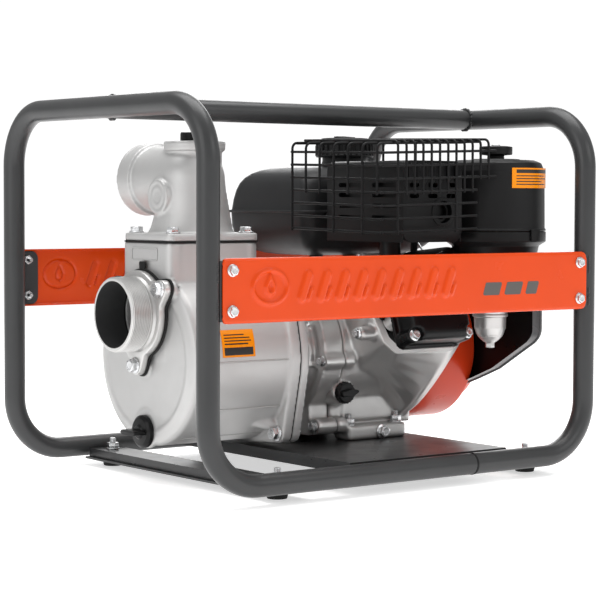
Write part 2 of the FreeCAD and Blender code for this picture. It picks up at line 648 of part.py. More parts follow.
def suction_port():
    """Hose tail for a three-inch hose on a three-lobed flange."""
    flange = lobed("port_flange", "port_flange_front", "port_flange_back - port_flange_front")
    tube = rod("port_tube", "port_radius", "port_flange_front - port_front", ("port_front", "shaft_y", "port_z"), "+X")
    bore = rod("port_bore_cut", "port_bore", 60, ("port_front - 5", "shaft_y", "port_z"), "+X")
    holes = lobe_holes("port_hole", "port_flange_front - 2", 14, 5)
    keep(cut("suction_port", fuse("port_outer", flange, tube), bore, *holes), "suction_port")


def suction_gasket():
    """Rubber gasket with a pull tab that stands out at the top."""
    disc = lobed("suction_gasket_disc", "port_flange_back", "port_boss_front - port_flange_back")
    tab = box("suction_gasket_tab", ("port_boss_front - port_flange_back", 12, 12),
              ("port_flange_back", "shaft_y - 6", "port_z + port_flange_radius - 3"))
    bore = rod("suction_gasket_bore", "port_bore", 10, ("port_flange_back - 3", "shaft_y", "port_z"), "+X")
    holes = lobe_holes("suction_gasket_hole", "port_flange_back - 3", 10, 5)
    keep(cut("suction_gasket", fuse("suction_gasket_outer", disc, tab), bore, *holes), "suction_gasket")


def suction_flap():
    """Rubber non-return flap that hangs behind the suction opening."""
    disc = rod("flap_disc", "flap_radius", "flap_sheet", ("casing_front + casing_wall + 0.4", "shaft_y", "port_z"), "+X")
    ear = box("flap_ear", ("flap_sheet", 24, 14), ("casing_front + casing_wall + 0.4", "shaft_y - 12",
                                                   "port_z + flap_radius - 8"))
    weight = rod("flap_weight", 30, 4, ("casing_front + casing_wall + 0.4 + flap_sheet", "shaft_y", "port_z"), "+X")
    keep(fuse("suction_flap", disc, ear, weight), "suction_flap")


def discharge_gasket():
    sheet_body = box("outlet_gasket_sheet", ("outlet_half_x * 2", "outlet_half_y * 2", "elbow_base - chamber_top"),
                     ("outlet_x - outlet_half_x", "shaft_y - outlet_half_y", "chamber_top"))
    tools = [rod("outlet_gasket_bore", "elbow_bore", 5, ("outlet_x", "shaft_y", "chamber_top - 1"))]
    tools += [rod("outlet_gasket_hole_%d" % i, 4.2, 5, (x, y, "chamber_top - 1"))
              for i, (x, y) in enumerate(outlet_bolt_places())]
    keep(cut("discharge_gasket", sheet_body, *tools), "discharge_gasket")


def discharge_elbow():
    """Outlet casting: flange, neck, a bend to the far side and the filler neck on top."""
    flange = box("elbow_flange_plate", ("outlet_half_x * 2", "outlet_half_y * 2", "elbow_flange"),
                 ("outlet_x - outlet_half_x", "shaft_y - outlet_half_y", "elbow_base"))
    flange = rounded("elbow_flange_round", flange, 10, along(Vector(0, 0, 1)))
    neck = taper("elbow_neck", "elbow_radius + 6", "elbow_radius", "elbow_turn_z - elbow_base - elbow_flange",
                 ("outlet_x", "shaft_y", "elbow_base + elbow_flange"))
    ball = doc.addObject("Part::Sphere", "elbow_ball")
    bind(ball, "Radius", "elbow_radius")
    put(ball, ("outlet_x", "shaft_y", "elbow_turn_z"))
    pipe = rod("elbow_pipe", "elbow_radius", "collar_start - shaft_y", ("outlet_x", "shaft_y", "elbow_turn_z"), "+Y")
    collar = rod("elbow_collar", "collar_radius", "collar_end - collar_start",
                 ("outlet_x", "collar_start", "elbow_turn_z"), "+Y")
    filler = rod("elbow_filler", "filler_radius", "filler_top - elbow_turn_z", ("filler_x", "shaft_y", "elbow_turn_z"))
    ring = rod("elbow_filler_ring", "filler_ring", 11, ("filler_x", "shaft_y", "filler_top - 11"))
    boss = rod("elbow_boss", 21, 48, ("outlet_x - 45.3", "shaft_y + 5", 335), "+X")
    rib = plate("elbow_rib", [("elbow_radius - 4", "0 - elbow_turn_z + elbow_base + elbow_flange"),
                              ("elbow_radius + 19", "0 - elbow_turn_z + elbow_base + elbow_flange"),
                              ("elbow_radius - 2", 36), ("elbow_radius - 20", 36)], 9,
                ("outlet_x", "shaft_y + 4.5", "elbow_turn_z"), Rotation(Vector(1, 0, 0), 90))
    outer = fuse("elbow_outer", flange, neck, ball, pipe, collar, filler, ring, boss, rib)
    inner_ball = doc.addObject("Part::Sphere", "elbow_inner_ball")
    bind(inner_ball, "Radius", "elbow_bore")
    put(inner_ball, ("outlet_x", "shaft_y", "elbow_turn_z"))
    tools = [rod("elbow_riser", "elbow_bore", "elbow_turn_z - elbow_base + 1", ("outlet_x", "shaft_y", "elbow_base - 1")),
             inner_ball,
             rod("elbow_outlet", "elbow_bore", "collar_end - shaft_y + 1", ("outlet_x", "shaft_y", "elbow_turn_z"), "+Y"),
             rod("elbow_fill", "filler_bore", 60, ("filler_x", "shaft_y", "elbow_turn_z")),
             rod("elbow_fill_seat", "plug_radius + 0.5", 10, ("filler_x", "shaft_y", "filler_top - plug_seat"))]
    tools += [rod("elbow_hole_%d" % i, 4.2, 20, (x, y, "elbow_base - 3"))
              for i, (x, y) in enumerate(outlet_bolt_places())]
    keep(cut("discharge_elbow", outer, *tools), "discharge_elbow")


def discharge_bolts():
    screws = [screw("outlet_screw_%d" % i, (x, y, "elbow_base + elbow_flange"), "-Z", 13, 7, 3.9, 17)
              for i, (x, y) in enumerate(outlet_bolt_places())]
    keep(group("discharge_bolts", screws), "discharge_bolts")


def priming_plug():
    """Screwed plug of the filler neck with a T handle."""
    low = "filler_top - plug_seat + 0.3"
    stem = rod("priming_stem", "filler_bore - running_gap", 5, ("filler_x", "shaft_y", low + " - 4.5"))
    disc = rod("priming_disc", "plug_radius", "plug_disc", ("filler_x", "shaft_y", low))
    bar = box("priming_bar", ("plug_handle", 14, "plug_disc + 11.7"), ("filler_x - plug_handle / 2", "shaft_y - 7", low))
    bar = rounded("priming_bar_round", bar, 3, along(Vector(0, 0, 1)))
    keep(fuse("priming_plug", stem, disc, bar), "priming_plug")


def drain_plug():
    """Screwed plug at the bottom of the casing with a wing."""
    stem = rod("drain_stem", "drain_bore - running_gap", 12, ("casing_front - 1.1", "shaft_y", "drain_z"), "+X")
    disc = rod("drain_disc", "drain_radius", 9, ("casing_front - 10.1", "shaft_y", "drain_z"), "+X")
    wing = box("drain_wing", (16, 30, 6), ("casing_front - 26", "shaft_y - 15", "drain_z - 3"))
    keep(fuse("drain_plug", stem, disc, wing), "drain_plug")


pump_casing()
casing_back_cover()
casing_gasket()
pump_bolts()
volute()
impeller()
seals()
suction_port()
suction_gasket()
suction_flap()
discharge_gasket()
discharge_elbow()
discharge_bolts()
priming_plug()
drain_plug()


# ---------------------------------------------------------------- engine
COVER_SCREWS = ((-45, 137), (-30, 56), (116, 56), (110, 150), (72, 212), (-22, 205))


def crankcase():
    """Casting with the sump, the feet and the tilted cylinder barrel."""
    drum = rod("case_drum", "case_radius", "case_back - case_front", ("case_front", "shaft_y", "shaft_z"), "+X")
    sump = box("case_sump", ("case_back - case_front - 10", "case_far - case_near", "shaft_z - case_floor"),
               ("case_front", "case_near", "case_floor"))
    block = box("case_block", ("block_half_x * 2", "block_half * 2", "head_start"),
                ("-block_half_x", "-block_half", 0))
    block = on_cylinder(group("case_block_set", [block]))
    feet = [box("case_foot_%d" % i, ("foot_end - foot_start", "foot_depth", "foot_height"),
                ("foot_start", y, "plate_top")) for i, y in enumerate(("foot_near", "foot_far - foot_depth"))]
    lugs = [rod("case_lug_%d" % i, 10, 16, ("case_front", y, z), "+X") for i, (y, z) in enumerate(COVER_SCREWS)]
    outer = fuse("case_outer", drum, sump, block, *feet, *lugs)
    cavity = rod("case_cavity", "case_radius - case_wall", "case_back - case_front - case_wall - 4",
                 ("case_front - 4", "shaft_y", "shaft_z"), "+X")
    oil = box("case_oil", ("case_back - case_front - 24", "case_far - case_near - case_wall * 2", 75),
              ("case_front - 4", "case_near + case_wall", "case_floor + case_wall"))
    bore = rod("case_bore", "bore_radius", "head_start + 1", (0, 0, 0))
    bore = on_cylinder(group("case_bore_set", [bore]))
    fins = []
    for i in range(5):
        slot = box("case_slot_%d" % i, ("block_half_x * 2 + 20", "block_half * 2 + 20", 4),
                   ("-block_half_x - 10", "-block_half - 10", "head_start - 12 - %d" % (9 * i)))
        core = rod("case_core_%d" % i, "bore_radius + 6", 6, (0, 0, "head_start - 13 - %d" % (9 * i)))
        fins.append(cut("case_fin_gap_%d" % i, slot, core))
    fins = on_cylinder(group("case_fins", fins))
    tools = [cavity, oil, bore, rod("case_bearing", "bearing_radius", 30, ("case_back - 25", "shaft_y", "shaft_z"), "+X")]
    tools += [rod("case_stud_hole_%d" % i, 4.5, 30, (x, y, "plate_top - 3")) for i, (x, y) in enumerate(stud_places())]
    tools += [rod("case_screw_hole_%d" % i, 3.2, 15, ("case_front - 1", y, z), "+X")
              for i, (y, z) in enumerate(COVER_SCREWS)]
    tools.append(rod("case_filler_hole", "oil_hole", 30, ("oil_x", "oil_face - 1", "oil_z"), "+Y"))
    tools.append(box("case_front_limit", (40, 80, 60), ("case_front - 40", "oil_face - 10", "oil_z - 30")))
    neck = rod("case_filler_neck", 12, "case_near - oil_face + 2", ("oil_x", "oil_face", "oil_z"), "+Y")
    bracket = box("case_lever_bracket", (6, 10, 78), ("lever_x - 3", "lever_face", 192))
    solid = cut("case_bored", fuse("case_filled", outer, neck, bracket), *tools)
    keep(cut("crankcase", solid, fins), "crankcase")


def crankcase_cover():
    """Front cover of the crankcase, with the face that the pump bolts to."""
    disc = rod("front_disc", "case_radius", "case_front - 0.5", (0, "shaft_y", "shaft_z"), "+X")
    lower = box("front_lower", ("case_front - 0.5", "case_far - case_near", "shaft_z - case_floor"),
                (0, "case_near", "case_floor"))
    face = rod("front_face", "cover_cone_back", 12, ("engine_face", "shaft_y", "shaft_z"), "+X")
    lugs = [rod("front_lug_%d" % i, 10, "case_front - 0.5", (0, y, z), "+X") for i, (y, z) in enumerate(COVER_SCREWS)]
    outer = fuse("front_outer", disc, lower, face, *lugs)
    tools = [rod("front_cavity", "case_radius - case_wall", 26, (6, "shaft_y", "shaft_z"), "+X"),
             box("front_oil", (26, "case_far - case_near - case_wall * 2", 75),
                 (6, "case_near + case_wall", "case_floor + case_wall")),
             rod("front_bearing", "bearing_radius", 60, ("engine_face - 1", "shaft_y", "shaft_z"), "+X")]
    tools += [rod("front_hole_%d" % i, 3.2, 40, (-1, y, z), "+X") for i, (y, z) in enumerate(COVER_SCREWS)]
    keep(cut("crankcase_cover", outer, *tools), "crankcase_cover")


def cover_bolts():
    screws = [screw("cover_screw_%d" % i, (0, y, z), "+X", 10, 6, 3, 42) for i, (y, z) in enumerate(COVER_SCREWS)]
    keep(group("cover_bolts", screws), "cover_bolts")


def cylinder_head():
    """Finned head with the combustion chamber."""
    block = box("head_block", ("block_half_x * 2 - 4", "block_half * 2 - 4", "valve_start - head_start - 0.5"),
                ("-block_half_x + 2", "-block_half + 2", "head_start + 0.3"))
    chamber = rod("head_chamber", "bore_radius - 2", 8, (0, 0, "head_start"))
    slots = [box("head_slot_%d" % i, ("block_half_x * 2 + 20", 14, 4), ("-block_half_x - 10", y, "head_start + 8 + %d" % (9 * j)))
             for i, (y, j) in enumerate((y, j) for y in (-48, 34) for j in range(2))]
    plug_hole = rod("head_plug_hole", 7.2, 40, ("-block_half_x - 2", 20, "head_start + 16"), "+X")
    keep(on_cylinder(cut("cylinder_head", block, chamber, *slots, plug_hole)), "cylinder_head")


def valve_cover():
    """Pressed cover over the valve gear, with four screw ears."""
    blank = box("valve_blank", ("valve_half_x * 2 - 12", "valve_half * 2 - 8", "valve_end - valve_start - 4"),
                ("-valve_half_x + 6", "-valve_half + 4", "valve_start + 4"))
    blank = rounded("valve_round", blank, 9, lambda edge: edge.BoundBox.ZMin > size("valve_start + 5"))
    rim = box("valve_rim", ("valve_half_x * 2", "valve_half * 2", 5), ("-valve_half_x", "-valve_half", "valve_start"))
    rim = rounded("valve_rim_round", rim, 10, along(Vector(0, 0, 1)))
    ears = [rod("valve_ear_%d" % i, 8.5, 27, (x, y, "valve_start"))
            for i, (x, y) in enumerate((x, y) for x in ("-valve_bolt_x", "valve_bolt_x")
                                       for y in ("-valve_bolt_y", "valve_bolt_y"))]
    holes = [rod("valve_hole_%d" % i, 3.2, 40, (x, y, "valve_start - 1"))
             for i, (x, y) in enumerate((x, y) for x in ("-valve_bolt_x", "valve_bolt_x")
                                        for y in ("-valve_bolt_y", "valve_bolt_y"))]
    notches = [rod("valve_notch_%d" % i, 8, 20, (x, y, "valve_start + 27"))
               for i, (x, y) in enumerate((x, y) for x in ("-valve_bolt_x", "valve_bolt_x")
                                          for y in ("-valve_bolt_y", "valve_bolt_y"))]
    hollow = box("valve_hollow", ("valve_half_x * 2 - 26", "valve_half * 2 - 34", "valve_end - valve_start - 5"),
                 ("-valve_half_x + 13", "-valve_half + 17", "valve_start - 1"))
    keep(on_cylinder(cut("valve_cover", fuse("valve_outer", blank, rim, *ears), hollow, *holes, *notches)), "valve_cover")


def valve_cover_bolts():
    screws = [screw("valve_screw_%d" % i, (x, y, "valve_start + 27"), "-Z", 10, 6, 3, 26)
              for i, (x, y) in enumerate((x, y) for x in ("-valve_bolt_x", "valve_bolt_x")
                                         for y in ("-valve_bolt_y", "valve_bolt_y"))]
    keep(on_cylinder(group("valve_cover_bolts", screws)), "valve_cover_bolts")


def crankshaft():
    """Built-up shaft with two webs, the crank pin, and long ends for the impeller and the flywheel."""
    front = rod("shaft_front_end", "journal_radius", "80 - shaft_front", ("shaft_front", "shaft_y", "shaft_z"), "+X")
    back = rod("shaft_back_end", "journal_radius", "shaft_back - 98", (98, "shaft_y", "shaft_z"), "+X")
    webs = [rod("shaft_web_%d" % i, "web_radius", 11, (x, "shaft_y", "shaft_z"), "+X") for i, x in enumerate((67, 97))]
    pin = rod("shaft_pin", "pin_radius", 30, (73, "shaft_y + throw", "shaft_z"), "+X")
    keep(fuse("crankshaft", front, back, *webs, pin), "crankshaft")


def crank_bearings():
    """Ball bearings in the crankcase and in its cover."""
    rings = []
    for i, x in enumerate(("engine_face + 8", "case_back - 20")):
        outer = rod("bearing_outer_%d" % i, "bearing_radius", 15, (x, "shaft_y", "shaft_z"), "+X")
        bore = rod("bearing_bore_%d" % i, "journal_radius + running_gap", 20, (x + " - 2", "shaft_y", "shaft_z"), "+X")
        rings.append(cut("bearing_%d" % i, outer, bore))
    keep(group("crank_bearings", rings), "crank_bearings")


def flywheel():
    """Flywheel with cooling vanes on its outer face and the starter cup."""
    disc = turned("flywheel_disc", [
        ("flywheel_front", "journal_radius"), ("flywheel_front", "flywheel_radius - 6"),
        ("flywheel_front + 18", "flywheel_radius - 6"), ("flywheel_front + 18", 30),
        ("flywheel_front + 40", 30), ("flywheel_front + 40", "journal_radius")], (0, "shaft_y", "shaft_z"))
    vanes = []
    for i in range(16):
        vane = box("flywheel_vane_%d" % i, (16, 3, 34), ("flywheel_front + 17.5", 0, 0))
        angle = 22.5 * i
        vane.Placement = Placement(Vector(), Rotation(Vector(1, 0, 0), angle))
        reach = 46.0
        bind(vane, "Placement.Base.x", "flywheel_front + 17.5")
        bind(vane, "Placement.Base.y", "shaft_y - %.4f" % (reach * math.sin(math.radians(angle))))
        bind(vane, "Placement.Base.z", "shaft_z + %.4f" % (reach * math.cos(math.radians(angle))))
        vanes.append(vane)
    cup = turned("starter_cup", [("flywheel_front + 39", "journal_radius"), ("flywheel_front + 39", 34),
                                 ("flywheel_front + 70", 34), ("flywheel_front + 70", 31),
                                 ("flywheel_front + 43", 31), ("flywheel_front + 43", "journal_radius")],
                 (0, "shaft_y", "shaft_z"))
    keep(fuse("flywheel", disc, cup, *vanes), "flywheel")


def piston():
    """Piston at mid stroke, open towards the crank."""
    crown = rod("piston_crown", "bore_radius - running_gap", "piston_height", (0, 0, 71))
    inner = rod("piston_inner", "bore_radius - 5", "piston_height - 8", (0, 0, 70))
    keep(on_cylinder(cut("piston", crown, inner)), "piston")


def fan_housing():
    """Drum round the flywheel, open at the back and towards the cylinder."""
    drum = turned("drum_shell", [
        ("drum_front", "drum_radius - drum_sheet"), ("drum_front", "drum_radius"), ("drum_back - 6", "drum_radius"),
        ("drum_back", "drum_radius - 6"), ("drum_back", 66), ("drum_back - drum_sheet", 66),
        ("drum_back - drum_sheet", "drum_radius - 7"), ("drum_back - 6.5", "drum_radius - drum_sheet")],
        (0, "shaft_y", "shaft_z"))
    window = box("drum_window", (50, 80, 130), ("drum_front - 1", "shaft_y - 110", "shaft_z - 20"))
    keep(cut("fan_housing", drum, window), "fan_housing")


def engine_shroud():
    """Sheet that closes the fan housing and guides the air past the carburettor to the cylinder."""
    edge = [("-173", "255"), ("-173", "173"), ("-165", "163"), ("-140", "144"), ("-103", "126"), ("-66", "110")]
    wing = plate("shroud_wing", edge + [("-35", "96"), ("10", "120"), ("10", "232"), ("-40", "255")],
                 "shroud_sheet", ("shroud_front", 0, 0), FACE_X)
    disc = rod("shroud_disc", "drum_radius - 1", "shroud_sheet", ("shroud_front", "shaft_y", "shaft_z"), "+X")
    lower = [(y, z) for y, z in edge]
    raised = [("-66", "112.5"), ("-102", "128.5"), ("-138.8", "146.3"), ("-163.2", "165"), ("-170.8", "174.2"),
              ("-170.8", "255")]
    rim = plate("shroud_rim", lower + raised, "shroud_rim", ("shroud_front - shroud_rim", 0, 0), FACE_X)
    eye = rod("shroud_eye", 66, 20, ("shroud_front - 5", "shaft_y", "shaft_z"), "+X")
    keep(cut("engine_shroud", fuse("shroud_outer", wing, disc, rim), eye), "engine_shroud")


def recoil_cover():
    """Domed starter cover with the spindle for the reel and the rope eyelet."""
    dome = turned("recoil_dome", [
        ("recoil_front", "recoil_radius - 1.6"), ("recoil_front", "recoil_radius"),
        ("recoil_back - 10", "recoil_radius - 2"), ("recoil_back", "recoil_radius - 16"), ("recoil_back", 0),
        ("recoil_front + 3", 0), ("recoil_front + 3", 7.95), ("recoil_back - 1.6", 7.95),
        ("recoil_back - 1.6", "recoil_radius - 17"), ("recoil_back - 10.5", "recoil_radius - 3.6")],
        (0, "shaft_y", "shaft_z"))
    eyelet = rod("recoil_eyelet", 5.5, 12, (249, "grip_y - 22", "grip_z"), "+Y")
    hole = rod("recoil_eyelet_hole", "rope_radius + 0.3", 60, (249, "grip_y - 50", "grip_z"), "+Y")
    vents = []
    for i in range(10):
        turn = math.radians(36 * i + 18)
        vents.append(rod("recoil_vent_%d" % i, 7, 12, ("recoil_back - 6", "shaft_y + %.3f" % (48 * math.cos(turn)),
                                                       "shaft_z + %.3f" % (48 * math.sin(turn))), "+X"))
    keep(cut("recoil_cover", fuse("recoil_outer", dome, eyelet), hole, *vents), "recoil_cover")


def recoil_reel():
    """Reel that holds the starter rope, running on the cover's spindle."""
    reel = turned("recoil_reel", [
        ("244.5", 8), ("244.5", "reel_radius + 3"), ("246.5", "reel_radius + 3"), ("246.5", "reel_radius - 6"),
        ("251.5", "reel_radius - 6"), ("251.5", "reel_radius + 3"), ("253.5", "reel_radius + 3"), ("253.5", 8)],
        (0, "shaft_y", "shaft_z"))
    keep(reel, "recoil_reel")


def starter_handle():
    """Grip of the starter rope, and the short length of rope between it and the eyelet."""
    bar = rod("grip_bar", 8, 42, (249, "grip_y + 7", "grip_z - 21"))
    neck = taper("grip_neck", 5, 8, 8, (249, "grip_y - 6", "grip_z"), "+Y")
    keep(fuse("starter_grip", bar, neck), "starter_grip")
    rope = rod("starter_rope", "rope_radius", 24, (249, "grip_y - 30", "grip_z"), "+Y")
    keep(rope, "starter_rope")


def muffler():
    """Silencer box with its exhaust pipe from the head and the round outlet."""
    can = box("muffler_can", ("shield_length - 18", "shield_depth - 24", "shield_high - muffler_low - 10"),
              ("shield_x + 9", "shield_near + 10", "muffler_low"))
    can = rounded("muffler_round", can, 12, along(Vector(0, 1, 0)))
    pipe = rod("muffler_pipe", 13, 56, (70, -88, "muffler_low - 54"))
    hollow = box("muffler_hollow", ("shield_length - 22", "shield_depth - 28", "shield_high - muffler_low - 14"),
                 ("shield_x + 11", "shield_near + 12", "muffler_low + 2"))
    outlet = rod("muffler_outlet", 12, 7, (108, "shield_near + 12", 340), "-Y")
    passage = rod("muffler_passage", 9, 60, (108, "shield_near + 30", 340), "-Y")
    keep(cut("muffler", fuse("muffler_outer", can, pipe, outlet), hollow, passage), "muffler")


def muffler_shield():
    """Pressed heat shield round the silencer, with slots in its near and upper faces."""
    shell = box("shield_shell", ("shield_length", "shield_depth", "shield_high - shield_low"),
                ("shield_x", "shield_near", "shield_low"))
    shell = rounded("shield_round", shell, 10, along(Vector(0, 1, 0)))
    inner = box("shield_inner", ("shield_length - shield_sheet * 2", "shield_depth - shield_sheet",
                                 "shield_high - shield_low - shield_sheet + 5"),
                ("shield_x + shield_sheet", "shield_near + shield_sheet", "shield_low - 5"))
    tools = [inner, rod("shield_hole", 15, 12, (108, "shield_near + 5", 340), "-Y")]
    tools += [box("shield_slot_%d" % i, (4, 20, 36), ("shield_x + 14 + %d" % (11 * i), "shield_near - 5", 296))
              for i in range(7)]
    keep(cut("muffler_shield", shell, *tools), "muffler_shield")


def muffler_guard():
    """Cage outside the heat shield: three flat grilles of round wire, at the near side, the pump end and the top."""
    near, end, top = [], [], []
    clear = "wire_radius * 2 + weld_gap"
    for i in range(7):
        level = "guard_low + guard_pitch * %d" % i
        reach = "guard_reach" if i > 3 else "guard_length"
        near.append(rod("guard_near_%d" % i, "wire_radius", reach, ("guard_x", "guard_near", level), "+X"))
        end.append(rod("guard_end_%d" % i, "wire_radius", "guard_depth", ("guard_x", "guard_near + " + clear, level), "+Y"))
    for i in range(12):
        x = "guard_x + guard_step * %d" % i
        below = "guard_pitch * %d" % (0 if i % 4 == 0 else 3)
        near.append(rod("guard_up_%d" % i, "wire_radius",
                        "guard_high - guard_low - wire_radius - weld_gap + 3 - " + below,
                        (x, "guard_near", "guard_low - 3 + " + below)))
        top.append(rod("guard_top_%d" % i, "wire_radius", "guard_depth", (x, "guard_near", "guard_high"), "+Y"))
    for i in range(4):
        y = "guard_near + 6 + guard_depth * %d / 3.3" % i
        top.append(rod("guard_cross_%d" % i, "wire_radius", "guard_length", ("guard_x", y, "guard_high"), "+X"))
        end.append(rod("guard_end_up_%d" % i, "wire_radius", "guard_high - guard_low - wire_radius - weld_gap + 3",
                       ("guard_x", y, "guard_low - 3")))
    for i, x in enumerate(("guard_x + guard_step * 5", "guard_x + guard_step * 9")):
        top.append(rod("guard_leg_%d" % i, "wire_radius", "guard_high - shield_high - weld_gap",
                       (x, "guard_near + guard_depth / 2", "shield_high + weld_gap")))
    keep(group("muffler_guard", [fuse("grille_near", *near), fuse("grille_end", *end), fuse("grille_top", *top)]),
         "muffler_guard")


def carburetor():
    """Carburettor body with its float bowl, the inlet tube from the head and the neck to the air cleaner."""
    body = box("carb_body", (44, 58, 42), ("carb_x - 22", "carb_y - 16", 203))
    body = rounded("carb_body_round", body, 5, everywhere)
    flange = rod("carb_flange", 21.5, 7, ("carb_x", "carb_y", 193.5))
    bowl = taper("carb_bowl", 15.5, 19.5, 28, ("carb_x", "carb_y", 165.5))
    tip = taper("carb_tip", 7, 15.5, 7, ("carb_x", "carb_y", 158.5))
    drain = hexagon("carb_drain", 5.8, 6, ("carb_x", "carb_y", 153))
    stem = rod("carb_stem", 16, 5, ("carb_x", "carb_y", 200))
    inlet = rod("carb_inlet", 12, 34, (134.6, -108, 206), "+X")
    neck = rod("carb_neck", 17, "cleaner_base - 244", ("carb_x", "carb_y", 244))
    keep(fuse("carburetor", body, flange, bowl, tip, drain, stem, inlet, neck), "carburetor")


def air_cleaner():
    """Round air cleaner: base with its stud, filter element, cover and the nut on top."""
    spot = ("cleaner_x", "cleaner_y", 0)
    base = turned("air_cleaner_base", [
        ("cleaner_base", 0), ("cleaner_base", 48), ("cleaner_ring - 2", 52), ("cleaner_ring", "cleaner_radius + 1.5"),
        ("cleaner_seam", "cleaner_radius + 1.5"), ("cleaner_seam", "cleaner_radius - 1"),
        ("cleaner_ring + 4", "cleaner_radius - 1"), ("cleaner_ring + 4", 47), ("cleaner_base + 4", 44),
        ("cleaner_base + 4", 3),
        ("cleaner_top + 15", 3), ("cleaner_top + 15", 0)], spot, "+Z")
    keep(base, "air_cleaner_base")
    element = turned("air_filter_element", [("cleaner_ring + 4", 28), ("cleaner_ring + 4", 52), ("cleaner_top - 12", 52),
                                            ("cleaner_top - 12", 28)], spot, "+Z")
    keep(element, "air_filter_element")
    cover = turned("air_cleaner_cover", [
        ("cleaner_seam + 0.3", "cleaner_radius - 2"), ("cleaner_seam + 0.3", "cleaner_radius"),
        ("cleaner_top - 14", "cleaner_radius - 1"), ("cleaner_top - 5", "cleaner_radius - 5"),
        ("cleaner_top", "cleaner_radius - 15"), ("cleaner_top", 3.2), ("cleaner_top - 2", 3.2),
        ("cleaner_top - 2", "cleaner_radius - 16"), ("cleaner_top - 6", "cleaner_radius - 7.5"),
        ("cleaner_top - 15", "cleaner_radius - 3")], spot, "+Z")
    keep(cover, "air_cleaner_cover")
    knob = turned("knob_turned", [
        ("cleaner_top + 0.3", "3.06"), ("cleaner_top + 0.3", 10), ("cleaner_top + 5", 9), ("cleaner_top + 5", 22),
        ("cleaner_top + 12", 22), ("cleaner_top + 12", "3.06")], spot, "+Z")
    wing = box("knob_wing", (36, 5, 12), ("cleaner_x - 18", "cleaner_y - 2.5", "cleaner_top + 5"))
    stud = rod("knob_bore", 3.06, 30, ("cleaner_x", "cleaner_y", "cleaner_top - 2"))
    keep(cut("knob", fuse("knob_outer", knob, wing), stud), "air_cleaner_knob")


def fuel_tank():
    """Two-piece pressed tank with a seam flange and the filler neck."""
    shell = box("tank_shell", ("tank_length", "tank_width", "tank_high - tank_low"), ("tank_x", "tank_near", "tank_low"))
    shell = rounded("tank_round_shell", shell, "tank_round", everywhere)
    rim = box("tank_rim_plate", ("tank_length + tank_rim * 2", "tank_width + tank_rim * 2", 4),
              ("tank_x - tank_rim", "tank_near - tank_rim", "tank_seam - 2"))
    rim = rounded("tank_rim_round", rim, "tank_round + tank_rim", along(Vector(0, 0, 1)))
    neck = rod("tank_neck", "neck_radius", "cap_low - tank_high + 16", ("cap_x", "cap_y", "tank_high - 10"))
    inner = box("tank_inner", ("tank_length - tank_wall * 2", "tank_width - tank_wall * 2",
                               "tank_high - tank_low - tank_wall * 2"),
                ("tank_x + tank_wall", "tank_near + tank_wall", "tank_low + tank_wall"))
    inner = rounded("tank_inner_round", inner, "tank_round - tank_wall", everywhere)
    mouth = rod("tank_mouth", "neck_radius - 2", 60, ("cap_x", "cap_y", "tank_high - 20"))
    brackets = [box("tank_leg_%d" % i, (14, 14, 55), (x, y, "tank_low - 49"))
                for i, (x, y) in enumerate(((70, 60), (125, 60)))]
    keep(cut("fuel_tank", fuse("tank_outer", shell, rim, neck, *brackets), inner, mouth), "fuel_tank")


def fuel_cap():
    """Domed quarter-turn cap over the filler neck."""
    cap = turned("fuel_cap_shell", [
        ("cap_low", "neck_radius + 2"), ("cap_low", "cap_radius"), ("cap_high - 7", "cap_radius - 0.5"),
        ("cap_high - 2", "cap_radius - 5"), ("cap_high", "cap_radius - 12"), ("cap_high", 0), ("cap_low + 8", 0),
        ("cap_low + 8", "neck_radius + 2")], ("cap_x", "cap_y", 0), "+Z")
    keep(cap, "fuel_cap")


def oil_cap():
    """Oil filler cap with a wing."""
    disc = rod("oil_disc", 12.5, 9, ("oil_x", "oil_face - 0.3", "oil_z"), "-Y")
    wing = box("oil_wing", (22, 9, 7), ("oil_x - 2", "oil_face - 14.3", "oil_z - 3.5"))
    stem = rod("oil_stem", "oil_hole - running_gap", 4.5, ("oil_x", "oil_face - 1", "oil_z"), "+Y")
    keep(fuse("oil_cap", disc, wing, stem), "oil_cap")


def spark_plug():
    """Spark plug in the side of the head, with its rubber cap."""
    thread = rod("plug_thread", 7.1, 30, ("-block_half_x + 16", 20, "head_start + 16"), "-X")
    nut = hexagon("plug_nut", 12, 8, ("-block_half_x + 1.5", 20, "head_start + 16"), "-X")
    cap = rod("plug_cap", 10, 22, ("-block_half_x - 6", 20, "head_start + 16"), "-X")
    keep(on_cylinder(fuse("spark_plug", thread, nut, cap)), "spark_plug")


def levers():
    """Hand levers, each on its own pin."""
    throttle_pin = rod("throttle_pin", 4, 6, ("lever_x", "lever_face - 0.3", "lever_z"), "-Y")
    throttle_arm = box("throttle_arm", (7, 3, 40), ("lever_x - 3.5", "lever_face - 6.3", "lever_z - 4"))
    throttle_knob = box("throttle_knob", (11, 9, 18), ("lever_x - 5.5", "lever_face - 9.3", "lever_z + 34"))
    keep(fuse("throttle_lever", throttle_pin, throttle_arm, throttle_knob), "throttle_lever")
    choke_pin = rod("choke_pin", 3.5, 8, (175, "carb_y - 16.3", 232), "-Y")
    choke_arm = box("choke_arm", (30, 3, 7), (149, "carb_y - 24", 228.5))
    keep(fuse("choke_lever", choke_pin, choke_arm), "choke_lever")
    fuel_pin = rod("fuel_pin", 3.5, 8, (200, "carb_y - 16.3", 215), "-Y")
    fuel_arm = box("fuel_arm", (28, 3, 7), (196, "carb_y - 24", 211.5))
    keep(fuse("fuel_lever", fuel_pin, fuel_arm), "fuel_lever")
    dial = rod("switch_dial", 11, 7, ("shroud_front + shroud_sheet + 0.3", -122, 214), "+X")
    fin = box("switch_fin", (13, 5, 20), ("shroud_front + shroud_sheet + 0.3", -124.5, 204))
    keep(fuse("engine_switch", dial, fin), "engine_switch")


